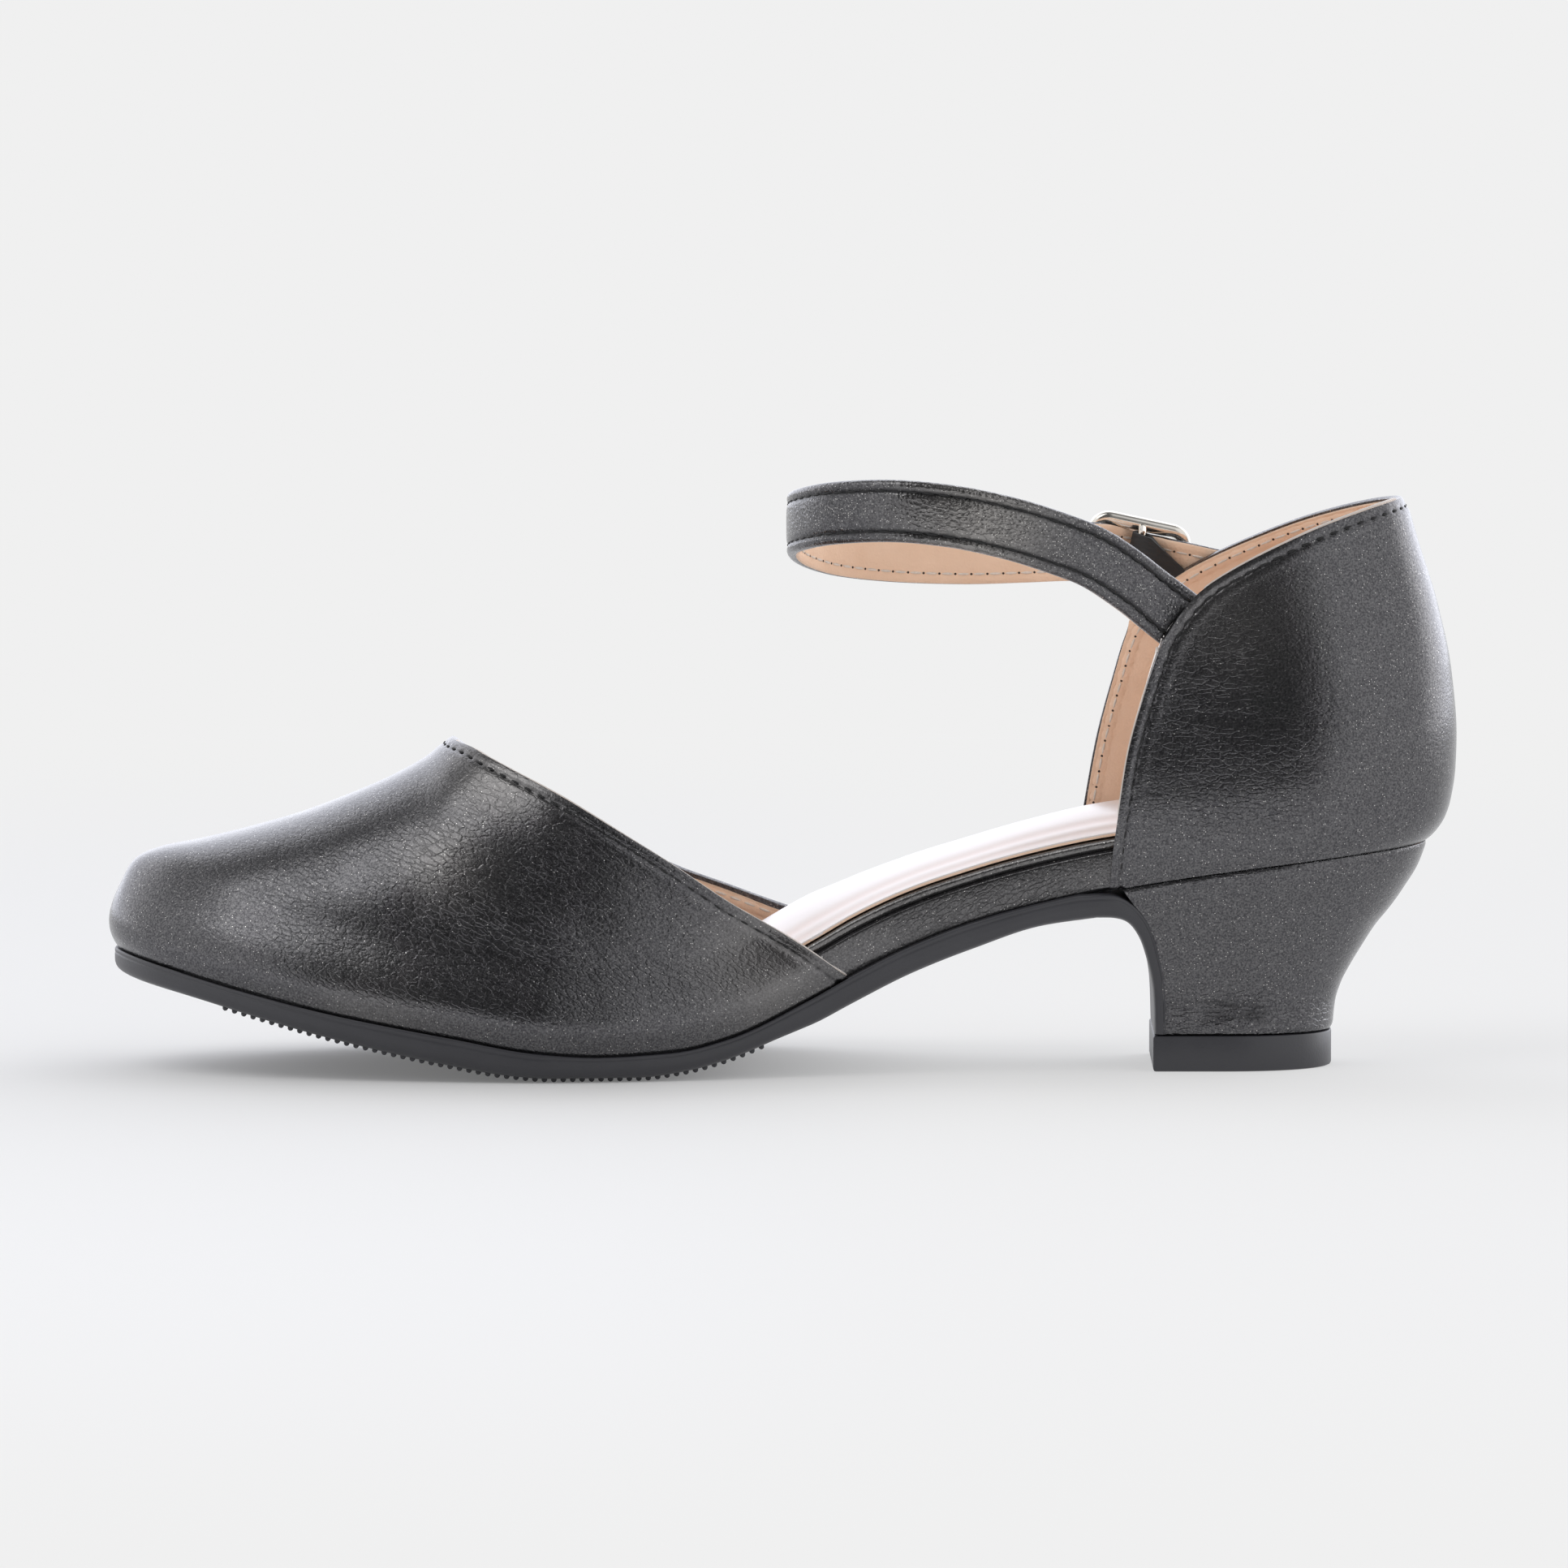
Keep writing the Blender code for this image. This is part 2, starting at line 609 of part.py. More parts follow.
# Buckle: wire frame with a set-back bar. Its pieces hang on one empty.
metal = material("pale_metal", (0.78, 0.74, 0.66), 0.25, 1.0)
along = BUCKLE_ALONG.normalized()
upward = upright(along, BUCKLE_LEAN)
outward = upward.cross(along)
buckle_seat = bpy.data.objects.new("buckle_seat", None)
parts.objects.link(buckle_seat)
axes = Matrix((along, upward, outward)).transposed()
buckle_seat.matrix_world = Matrix.Translation(BUCKLE_CENTRE * MM) @ axes.to_4x4()


def wire(name, points, radius, look, cyclic=False, group=parts):
    """A round wire through points of the buckle's frame (along, up, out)."""
    curve = bpy.data.curves.new(name, "CURVE")
    curve.dimensions = "3D"
    curve.bevel_depth = radius * MM
    curve.bevel_resolution = 2
    curve.use_fill_caps = True
    spline = curve.splines.new("POLY")
    spline.points.add(len(points) - 1)
    for place, point in zip(spline.points, points):
        place.co = (*(Vector(point) * MM), 1.0)
    spline.use_cyclic_u = cyclic
    made = add_object(name, curve, look, group)
    made.parent = buckle_seat
    bpy.context.view_layer.update()
    mesh = bpy.data.meshes.new_from_object(made.evaluated_get(bpy.context.evaluated_depsgraph_get()))
    bpy.data.objects.remove(made)
    solid = add_object(name, mesh, look, group)
    solid.parent = buckle_seat
    return solid


CORNER_STEPS = 4
frame_points = []
for corner in range(4):
    middle = Vector(((-1, 1, 1, -1)[corner] * (BUCKLE_HALF_LENGTH - BUCKLE_CORNER),
                     (-1, -1, 1, 1)[corner] * (BUCKLE_HALF_HEIGHT - BUCKLE_CORNER), 0.0))
    for step in range(CORNER_STEPS + 1):
        angle = (corner + 2 + step / CORNER_STEPS) * math.pi / 2
        frame_points.append(middle + BUCKLE_CORNER * Vector((math.cos(angle), math.sin(angle), 0.0)))
frame = wire("buckle_frame", frame_points, BUCKLE_WIRE, metal, cyclic=True)
bar_end = BUCKLE_HALF_HEIGHT - BAR_FOOT
bar_points = [(0.0, -BUCKLE_HALF_HEIGHT, 0.0), (0.0, -bar_end, -BAR_SET_BACK),
              (0.0, bar_end, -BAR_SET_BACK), (0.0, BUCKLE_HALF_HEIGHT, 0.0)]
bar = wire("buckle_bar", bar_points, BAR_WIRE, metal, group=cutters)
combine(frame, bar, "UNION")
apply_modifiers(frame)

# Buckle prong: pointed tongue with an eye round the bar, through the strap's hole to the frame
prong = wire("buckle_prong", PRONG, PRONG_WIRE, metal)
EYE_STEPS = 10
eye_points = []
for step in range(EYE_STEPS):
    angle = 2 * math.pi * step / EYE_STEPS
    reach = (PRONG_EYE + BAR_WIRE + GAP) / 2
    eye_points.append((reach * math.cos(angle), 0.0, reach * math.sin(angle) - BAR_SET_BACK))
eye = wire("prong_eye", eye_points, (PRONG_EYE - BAR_WIRE - GAP) / 2, metal, cyclic=True, group=cutters)
combine(prong, eye, "UNION")
apply_modifiers(prong)

# Buckle tab: band folded round the bar, both layers sewn together inside the quarter
elastic = material("black_elastic", (0.015, 0.015, 0.016), 0.7)
outline = bpy.data.curves.new("buckle_tab", "CURVE")
outline.dimensions = "2D"
outline.fill_mode = "BOTH"
outline.extrude = TAB_WIDTH / 2 * MM


def add_outline(points):
    spline = outline.splines.new("POLY")
    spline.points.add(len(points) - 1)
    for place, (a, b) in zip(spline.points, points):
        place.co = (a * MM, b * MM, 0.0, 1.0)
    spline.use_cyclic_u = True


def arc(radius, first, last, steps):
    """Points round the bar, angles in degrees."""
    turns = [math.radians(mix(first, last, i / steps)) for i in range(steps + 1)]
    return [(radius * math.cos(turn), radius * math.sin(turn) - BAR_SET_BACK) for turn in turns]


add_outline([*TAB_OUTER_FACE, *arc(TAB_LOOP, -30, 240, 12), *TAB_INNER_FACE])
add_outline(arc(BAR_WIRE + GAP, 0, 330, 11))
tab_curve = add_object("buckle_tab_outline", outline, elastic, cutters)
bpy.context.view_layer.update()
tab_mesh = bpy.data.meshes.new_from_object(
    tab_curve.evaluated_get(bpy.context.evaluated_depsgraph_get()))
bpy.data.objects.remove(tab_curve)
tab = add_object("buckle_tab", tab_mesh, elastic)
tab.parent = buckle_seat
tab.rotation_euler = (math.pi / 2, 0.0, 0.0)

# The holes that the prong passes: one in the strap, one in the fold of the tab
hole = wire("prong_hole", PRONG, PRONG_HOLE, metal, group=cutters)
combine(strap, hole, "DIFFERENCE")
bm = bmesh.new()
bmesh.ops.create_cube(bm, size=MM)
bmesh.ops.scale(bm, vec=SLOT_SIZE, verts=bm.verts)
slot = add_object("prong_slot", mesh_from(bm, "prong_slot"), metal, cutters)
slot.parent = buckle_seat
slot.location = SLOT_PLACE * MM
combine(tab, slot, "DIFFERENCE")
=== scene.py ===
# Looks of a two-piece pump with an ankle strap and a low covered heel, for the right foot.
# The toe points to -X and the inner side of the foot to -Y. Sizes are in millimetres, and MM
# turns them into the frame's metres.
import math
from bisect import bisect_right
from collections import namedtuple

import bmesh
import bpy
import numpy as np
from mathutils import Matrix, Vector
from mathutils.bvhtree import BVHTree
from mathutils.geometry import intersect_point_line
from mathutils.kdtree import KDTree


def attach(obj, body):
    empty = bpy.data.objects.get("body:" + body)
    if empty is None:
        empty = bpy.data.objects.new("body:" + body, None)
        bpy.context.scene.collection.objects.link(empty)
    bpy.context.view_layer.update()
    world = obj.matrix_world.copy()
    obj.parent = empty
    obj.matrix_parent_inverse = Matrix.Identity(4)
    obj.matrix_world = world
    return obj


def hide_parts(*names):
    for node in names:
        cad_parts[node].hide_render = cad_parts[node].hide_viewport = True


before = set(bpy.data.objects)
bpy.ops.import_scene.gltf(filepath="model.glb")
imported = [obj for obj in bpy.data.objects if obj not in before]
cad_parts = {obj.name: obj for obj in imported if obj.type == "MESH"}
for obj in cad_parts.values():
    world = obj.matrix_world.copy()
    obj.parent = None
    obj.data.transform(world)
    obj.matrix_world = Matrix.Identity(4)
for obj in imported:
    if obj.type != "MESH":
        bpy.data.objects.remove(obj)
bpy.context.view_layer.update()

# Outsole
# A moulded sheet of satin black rubber under the whole foot, turned down over the heel's front.
# It is glued on under the lasted upper. Its edge has a fine lip, its forefoot ribs across.
MM = 0.001
TOE_X, HEEL_X = -121.0, 116.9       # ends of the last's bottom edge
END_STEP = 0.02                     # meshes stop this far short of the last's pointed ends
GAP = 0.3                           # between pieces that meet
SOLE_MARGIN = 0.9
SOLE_PLATE_BACK = 53.5
HEEL_BOTTOM = 6.8
RIB_FRONT, RIB_BACK = -101.0, -4.0
RIB_PITCH, RIB_RADIUS, RIB_ROUND = 1.7, 0.52, 0.25
RIB_DEPTH, RIB_FADE = 0.7, 12.0     # the tread's depth runs out behind the last rib
RIB_MARGIN = 1.9                    # from the last's edge to the end of a rib
WELD = 0.004                        # points closer than this are one
SHARP_EDGE = 50                     # degrees between faces where smooth shading stops

Last = namedtuple("Last", "x medial lateral seat board crown sock")
LAST = (
    Last(-121.0, -3.0, -3.0, 21.1, 2.2, 0.8, 2.2),
    Last(-118.0, -14.0, 8.0, 20.4, 2.2, 1.0, 2.0),
    Last(-112.0, -21.5, 16.0, 19.0, 2.3, 1.4, 1.8),
    Last(-98.6, -30.0, 26.0, 15.6, 2.4, 1.8, 1.6),
    Last(-81.0, -35.2, 32.8, 11.5, 2.6, 2.0, 1.5),
    Last(-60.0, -38.0, 36.8, 7.6, 3.0, 2.2, 1.4),
    Last(-45.0, -38.5, 38.3, 4.9, 3.6, 2.4, 1.4),
    Last(-33.5, -37.3, 38.6, 4.1, 4.8, 2.6, 1.5),
    Last(-20.0, -34.5, 37.6, 4.7, 6.6, 3.8, 1.7),
    Last(-10.0, -31.7, 35.8, 6.9, 8.4, 5.6, 2.2),
    Last(5.0, -27.7, 32.5, 13.8, 10.1, 5.3, 3.0),
    Last(12.5, -26.0, 30.8, 17.9, 10.2, 4.2, 3.2),
    Last(23.0, -24.3, 28.7, 23.0, 9.8, 3.4, 3.2),
    Last(34.5, -23.2, 27.0, 27.3, 9.3, 3.2, 3.2),
    Last(46.5, -23.0, 25.8, 30.6, 9.3, 3.4, 3.2),
    Last(57.0, -23.4, 25.2, 32.9, 9.3, 3.6, 3.0),
    Last(79.0, -24.2, 24.2, 36.5, 8.4, 2.8, 1.4),
    Last(105.0, -19.4, 19.4, 39.7, 7.2, 2.2, 0.2),
    Last(112.0, -13.6, 13.6, 40.4, 7.0, 1.8, -0.8),
    Last(116.9, 0.0, 0.0, 40.9, 7.0, 1.4, -1.4),
)
Under = namedtuple("Under", "x z")
SOLE_UNDER = (
    Under(-121.0, 17.3), Under(-112.0, 15.1), Under(-98.6, 11.4), Under(-81.0, 6.8),
    Under(-60.0, 2.3), Under(-50.0, 0.6), Under(-42.0, 0.0), Under(-26.0, 0.0),
    Under(-18.0, 0.9), Under(-10.0, 2.9), Under(5.0, 9.4), Under(12.5, 13.3),
    Under(23.0, 18.5), Under(34.5, 23.0), Under(46.5, 27.0), Under(57.0, 28.6),
)
Breast = namedtuple("Breast", "inner_x inner_z outer_x outer_z half")
BREAST = (
    Breast(57.0, 32.9, 56.6, 28.6, 24.9),
    Breast(60.2, 32.6, 59.7, 28.5, 24.5),
    Breast(63.0, 31.0, 61.9, 27.8, 23.6),
    Breast(65.3, 28.4, 63.4, 26.3, 22.4),
    Breast(66.9, 25.0, 64.7, 23.9, 21.2),
    Breast(68.0, 21.0, 65.8, 20.4, 19.9),
    Breast(68.8, 17.2, 66.6, 16.9, 18.7),
    Breast(69.2, 13.4, 67.0, 13.2, 17.8),
    Breast(69.3, HEEL_BOTTOM, 67.2, HEEL_BOTTOM, 17.0),
)
Edge = namedtuple("Edge", "level inset")
SOLE_EDGE = (
    Edge(0.0, 2.2), Edge(0.05, 1.35), Edge(0.13, 0.65), Edge(0.3, 0.2), Edge(0.5, 0.02),
    Edge(0.76, 0.0), Edge(0.81, 0.12), Edge(0.86, 0.02), Edge(0.96, 0.03), Edge(1.0, 0.2),
)
SOLE_LIP = 0.5                      # the moulded rim stands up round the upper
SOLE_STATIONS = 150
BREAST_STEPS = 5


def column(table, name, warp=float):
    """A smooth function of a table's first column through another one, which never overshoots."""
    keys = [warp(row[0]) for row in table]
    values = [getattr(row, name) for row in table]
    secants = [(b - a) / (q - p) for a, b, p, q in zip(values, values[1:], keys, keys[1:])]
    slopes = [secants[0]]
    for before, after in zip(secants, secants[1:]):
        turning = before * after <= 0
        slopes.append(0.0 if turning else 2 * before * after / (before + after))
    slopes.append(secants[-1])

    def at(place):
        place = min(max(warp(place), keys[0]), keys[-1])
        i = min(bisect_right(keys, place), len(keys) - 1) - 1
        span = keys[i + 1] - keys[i]
        s = (place - keys[i]) / span
        start = values[i] * (1 + 2 * s) + slopes[i] * span * s
        end = values[i + 1] * (3 - 2 * s) + slopes[i + 1] * span * (s - 1)
        return start * (1 - s) ** 2 + end * s * s

    return at


def foot_turn(x):
    """0 at the toe, pi at the heel. A width that is smooth in it ends in a round nose."""
    along = (x - TOE_X) / (HEEL_X - TOE_X)
    return math.acos(max(-1.0, min(1.0, 1 - 2 * along)))


def mix(a, b, share):
    return a + (b - a) * share


def soft_step(low, high, value):
    s = min(max((value - low) / (high - low), 0.0), 1.0)
    return s * s * (3 - 2 * s)


def station(first, last, share):
    """A place along the foot. Equal shares lie closer together at its round ends."""
    turn = mix(foot_turn(first), foot_turn(last), share)
    return mix(TOE_X, HEEL_X, (1 - math.cos(turn)) / 2)


def curve_through(table, steps):
    """Points on a smooth path through the rows of a table."""
    rows = [Vector(row) for row in table]
    points = []
    for i in range(len(rows) - 1):
        a, b = rows[i], rows[i + 1]
        start = (b - rows[i - 1]) / 2 if i else b - a
        end = (rows[i + 2] - a) / 2 if i + 2 < len(rows) else b - a
        for step in range(steps):
            s = step / steps
            points.append((a * (1 + 2 * s) + start * s) * (1 - s) ** 2
                          + (b * (3 - 2 * s) + end * (s - 1)) * s * s)
    points.append(rows[-1])
    return points


medial_edge = column(LAST, "medial", warp=foot_turn)
lateral_edge = column(LAST, "lateral", warp=foot_turn)
seat = column(LAST, "seat")
sole_under = column(SOLE_UNDER, "z")
sole_inset = column(SOLE_EDGE, "inset")


def rim(edge, x, inset):
    """A point (x, y) on an edge of the last's bottom, moved inwards at right angles to it."""
    step = 0.05
    slope = (edge(x + step) - edge(x)) / step
    inwards = inset / math.hypot(slope, 1.0) * (1 if edge is medial_edge else -1)
    return Vector((x - inwards * slope, edge(x) + inwards))


def section_stops(edge_steps, top_steps, bottom_steps):
    """Stops round a plate's section as (share across, level): up one edge, across, down, back."""
    stops = [(0.0, i / edge_steps) for i in range(edge_steps)]
    stops += [(i / top_steps, 1.0) for i in range(top_steps)]
    stops += [(1.0, 1 - i / edge_steps) for i in range(edge_steps)]
    stops += [(1 - i / bottom_steps, 0.0) for i in range(bottom_steps + 1)]
    return stops


def plate_point(x, across, level, inset, bottom, top):
    """A point of a plate on the last's bottom between two heights."""
    medial, lateral = (rim(edge, x, inset) for edge in (medial_edge, lateral_edge))
    if medial.y > lateral.y:
        medial = lateral = (medial + lateral) / 2
    a, y = mix(medial, lateral, across)
    return a, y, mix(bottom(a), top(a), level)


def grid(columns, rows, place):
    """A grid of points, each put at place(column, row)."""
    bm = bmesh.new()
    bmesh.ops.create_grid(bm, x_segments=columns - 1, y_segments=rows - 1, size=0.5)
    for vert in bm.verts:
        i = round((vert.co.x + 0.5) * (columns - 1))
        j = round((vert.co.y + 0.5) * (rows - 1))
        vert.co = Vector(place(i, j)) * MM
    return bm


def close_up(bm):
    """Weld a grid's meeting edges and fill what is open, so that it is one closed solid."""
    bmesh.ops.remove_doubles(bm, verts=bm.verts, dist=WELD * MM)
    bmesh.ops.holes_fill(bm, edges=[edge for edge in bm.edges if edge.is_boundary], sides=0)
    bmesh.ops.recalc_face_normals(bm, faces=bm.faces)


def piece(name, bm, *looks, sharp=SHARP_EDGE):
    """The mesh as a smooth object with its finishes."""
    mesh = bpy.data.meshes.new(name)
    bm.to_mesh(mesh)
    bm.free()
    mesh.shade_smooth()
    mesh.set_sharp_from_angle(angle=math.radians(sharp))
    for look in looks:
        mesh.materials.append(look)
    made = bpy.data.objects.new(name, mesh)
    bpy.context.scene.collection.objects.link(made)
    return made


class Socket:
    """One output of a finish's nodes. Arithmetic adds Math nodes, node() adds any other."""

    def __init__(self, tree, output=None):
        self.tree = tree
        self.output = output

    def feed(self, made, values):
        for key, value in values.items():
            if isinstance(value, Socket):
                self.tree.links.new(value.output, made.inputs[key])
            else:
                made.inputs[key].default_value = value

    def node(self, kind, settings, values, out=0):
        made = self.tree.nodes.new("ShaderNode" + kind)
        for name, value in settings.items():
            setattr(made, name, value)
        self.feed(made, values)
        return Socket(self.tree, made.outputs[out])

    def maths(self, operation, *values):
        return self.node("Math", {"operation": operation}, dict(enumerate(values)))

    def __add__(self, other):
        return self.maths("ADD", self, other)

    def __sub__(self, other):
        return self.maths("SUBTRACT", self, other)

    def __rsub__(self, other):
        return self.maths("SUBTRACT", other, self)

    def __mul__(self, other):
        return self.maths("MULTIPLY", self, other)

    def __abs__(self):
        return self.maths("ABSOLUTE", self)

    __radd__ = __add__
    __rmul__ = __mul__

    def step(self, low, high):
        """0 below low, 1 above high, smooth between."""
        return self.node("MapRange", {"interpolation_type": "SMOOTHSTEP"}, {0: self, 1: low, 2: high})

    def colour(self, first, second):
        """The second colour where this is 1, the first where it is 0."""
        return self.node("Mix", {"data_type": "RGBA"}, {0: self, 6: first, 7: second}, out=2)

    def sized(self, *size, turn=(0.0, 0.0, 0.0), centre=(0.0, 0.0, 0.0)):
        """These coordinates from a centre, turned, and counted in steps of a size in mm: one for
        all axes, or one for each."""
        sizes = size * (3 // len(size))
        return self.node("Mapping", {"vector_type": "TEXTURE"}, {
            "Vector": self, "Rotation": turn, "Location": [part * MM for part in centre],
            "Scale": [part * MM for part in sizes]})

    def noise(self, detail=2.0, out=0):
        return self.node("TexNoise", {}, {"Vector": self, "Scale": 1.0, "Detail": detail}, out=out)

    def cells(self, out, feature="F1"):
        return self.node("TexVoronoi", {"feature": feature}, {"Vector": self, "Scale": 1.0}, out=out)

    def attribute(self, name):
        """A value that the mesh holds at each of its points."""
        return self.node("Attribute", {"attribute_name": name}, {}, out="Fac")

    def length(self):
        return self.node("VectorMath", {"operation": "LENGTH"}, {0: self}, out="Value")

    def bump(self):
        """A surface with this as its relief, in mm."""
        return self.node("Bump", {}, {"Height": self, "Strength": 1.0, "Distance": MM})


def finish(name):
    """A new finish: the material, its shader and the coordinates of the object's space."""
    made = bpy.data.materials.new(name)
    made.use_nodes = True
    shader = made.node_tree.nodes["Principled BSDF"]
    place = Socket(made.node_tree).node("TexCoord", {}, {}, out="Object")
    return made, shader, place


def satin_rubber():
    made, shader, place = finish("satin_rubber")
    cloud = place.sized(9.0).noise()
    moulded = place.sized(0.5).noise()
    place.feed(shader, {
        "Base Color": cloud.colour((0.032, 0.032, 0.038, 1), (0.046, 0.046, 0.053, 1)),
        "Roughness": 0.34 + 0.16 * cloud,
        "Normal": (0.03 * moulded).bump(),
        "IOR": 1.55,
    })
    return made


def sole_bottom(x):
    """Underside between the ribs, which reach down to the sole's true underside."""
    ribbed = soft_step(TOE_X, RIB_FRONT, x) * (1 - soft_step(RIB_BACK, RIB_BACK + RIB_FADE, x))
    return sole_under(x) + RIB_DEPTH * ribbed


sole_stops = section_stops(edge_steps=22, top_steps=8, bottom_steps=12)
breast_rows = curve_through(BREAST, BREAST_STEPS)


def sole_top(x):
    return seat(x) + SOLE_LIP


def sole_point(i, j):
    across, level = sole_stops[i]
    if j == 0:
        across = 0.5                # the two edges meet at the toe
    if j < SOLE_STATIONS:
        x = station(TOE_X + END_STEP, SOLE_PLATE_BACK, j / (SOLE_STATIONS - 1))
        return plate_point(x, across, level, sole_inset(level) - SOLE_MARGIN, sole_bottom, sole_top)
    inner_x, inner_z, outer_x, outer_z, half = breast_rows[j - SOLE_STATIONS]
    y = mix(-1, 1, across) * (half - sole_inset(level))
    return mix(outer_x, inner_x, level), y, mix(outer_z, inner_z, level)


bm = grid(len(sole_stops), SOLE_STATIONS + len(breast_rows), sole_point)
close_up(bm)
rubber = satin_rubber()
outsole = piece("outsole_rubber", bm, rubber)
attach(outsole, "root")
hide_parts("outsole")

bm = bmesh.new()
rib_x = RIB_FRONT
while rib_x < RIB_BACK:
    first, last = medial_edge(rib_x) + RIB_MARGIN, lateral_edge(rib_x) - RIB_MARGIN
    centre = Vector((rib_x, (first + last) / 2, sole_under(rib_x) + RIB_RADIUS)) * MM
    turned = Matrix.Translation(centre) @ Matrix.Rotation(math.pi / 2, 4, "X")
    bmesh.ops.create_cone(bm, cap_ends=True, segments=10, radius1=RIB_RADIUS * MM,
                          radius2=RIB_RADIUS * MM, depth=(last - first) * MM, matrix=turned)
    rib_x += RIB_PITCH
rib_ends = [edge for edge in bm.edges if len({len(face.verts) for face in edge.link_faces}) == 2]
bmesh.ops.bevel(bm, geom=rib_ends, offset=RIB_ROUND * MM, affect="EDGES", segments=2, profile=0.5,
                material=-1)
ribs = piece("outsole_ribs", bm, rubber)
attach(ribs, "root")

# Top lift
# The hard-wearing rubber piece under the heel, cut to its D shape with a broken lower edge.
# It is pinned to the heel block and is the only part of the heel on the floor.
LIFT_HEIGHT = 6.5
LIFT_FRONT, LIFT_BACK, LIFT_HALF = 67.0, 99.8, 17.1
LIFT_EDGE = 0.5
Level = namedtuple("Level", "z inset")
LIFT_LEVELS = (
    Level(0.0, LIFT_EDGE), Level(0.15, 0.15), Level(LIFT_EDGE, 0.0), Level(3.2, 0.0),
    Level(6.1, 0.0), Level(6.38, 0.1), Level(LIFT_HEIGHT, 0.35),
)
NOSE_BOTTOM, NOSE_TOP, NOSE_HEEL, NOSE_POWER = 34.0, 30.0, 20.0, 2.2
ROUND_STEPS, FRONT_STEPS = 96, 10


def nose(distance, length):
    """Share of the full half-width at a distance from the back of the heel."""
    ahead = max(0.0, 1 - distance / length)
    return (1 - ahead ** NOSE_POWER) ** (1 / NOSE_POWER)


def heel_outline(step, front, back, half, length):
    """A point (x, y) on a D shape: the round side first, then straight across the front."""
    if step <= ROUND_STEPS:
        t = 2 * step / ROUND_STEPS - 1
        x = mix(back, front, 1 - math.cos(t * math.pi / 2))
        return x, math.copysign(half * nose(back - x, length), t)
    return front, half * (1 - 2 * (step - ROUND_STEPS) / FRONT_STEPS)


def lift_point(i, j):
    z, inset = LIFT_LEVELS[j]
    x, y = heel_outline(i, LIFT_FRONT + inset, LIFT_BACK - inset, LIFT_HALF - inset, NOSE_HEEL)
    return x, y, z


bm = grid(ROUND_STEPS + FRONT_STEPS + 1, len(LIFT_LEVELS), lift_point)
close_up(bm)
lift = piece("top_lift_rubber", bm, rubber, sharp=35)
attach(lift, "root")
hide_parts("top_lift")

# Heel
# A moulded block covered with the upper's coated leather, which is stretched round the back and
# glued. The cover is turned in at the seat and at the lift, and wrinkles a little above the lift.
Heel = namedtuple("Heel", "drop front back half")
HEEL = (
    Heel(0.0, 62.2, 117.2, 23.9),
    Heel(0.126, 64.4, 115.5, 23.0),
    Heel(0.232, 66.3, 113.2, 22.0),
    Heel(0.334, 67.5, 110.7, 21.1),
    Heel(0.44, 68.3, 107.7, 20.2),
    Heel(0.545, 68.9, 105.4, 19.3),
    Heel(0.648, 69.4, 103.3, 18.5),
    Heel(0.754, 69.6, 101.5, 17.8),
    Heel(0.856, 69.7, 100.5, 17.3),
    Heel(1.0, 69.8, 100.0, 17.0),
)
HEEL_LEVELS = 90
HEEL_TUCK = 0.9                     # of the cover's front, under the sole's tongue
HEEL_TURN_IN = 0.32
HEEL_TURN_IN_HEIGHT = 1.1
# a crease's shade is how much shade is painted into its trough's colour
Crease = namedtuple("Crease", "start end depth width shade", defaults=(0.0,))
ON_SURFACE = 1.0                    # a crease this close to a surface lies on it
# the heel's creases also get painted shade in their troughs
HEEL_CREASES = (
    Crease((73.0, -17.3, 12.9), (83.0, -17.3, 12.5), 0.07, 0.4, 0.4),
    Crease((77.0, -17.3, 12.0), (86.0, -17.2, 12.2), 0.09, 0.4, 0.5),
    Crease((83.0, -17.2, 11.5), (92.0, -17.0, 11.8), 0.09, 0.4, 0.5),
    Crease((75.0, -17.2, 10.9), (82.0, -17.2, 11.2), 0.09, 0.4, 0.5),
    Crease((81.0, -17.2, 10.7), (91.0, -17.0, 10.6), 0.11, 0.4, 0.65),
    Crease((76.0, -17.2, 9.9), (83.0, -17.2, 10.2), 0.11, 0.4, 0.65),
    Crease((82.0, -17.1, 9.7), (90.0, -17.0, 9.9), 0.11, 0.4, 0.65),
    Crease((74.0, -17.2, 9.1), (81.0, -17.1, 9.4), 0.08, 0.4, 0.45),
    Crease((84.0, -17.1, 9.0), (92.0, -16.9, 9.2), 0.08, 0.4, 0.45),
    Crease((76.0, 17.4, 10.6), (94.0, 16.6, 10.1), 0.1, 0.4, 0.5),
    Crease((74.0, 17.6, 12.2), (91.0, 17.0, 12.5), 0.1, 0.4, 0.4),
)

heel_front, heel_back, heel_half = (column(HEEL, name) for name in ("front", "back", "half"))


def heel_point(i, j):
    drop = j / (HEEL_LEVELS - 1)
    back, half, front = heel_back(drop), heel_half(drop), heel_front(drop) - HEEL_TUCK
    tall = seat(back) - HEEL_BOTTOM
    end = min(drop, 1 - drop) * tall
    inset = HEEL_TURN_IN * max(0.0, 1 - end / HEEL_TURN_IN_HEIGHT) ** 2
    x, y = heel_outline(i, front, back - inset, half - inset, mix(NOSE_BOTTOM, NOSE_HEEL, drop))
    return x, y, mix(seat(x), HEEL_BOTTOM, drop)


def shift(bm, moves):
    """Move each point of a mesh."""
    for vert, move in zip(bm.verts, moves):
        vert.co += move


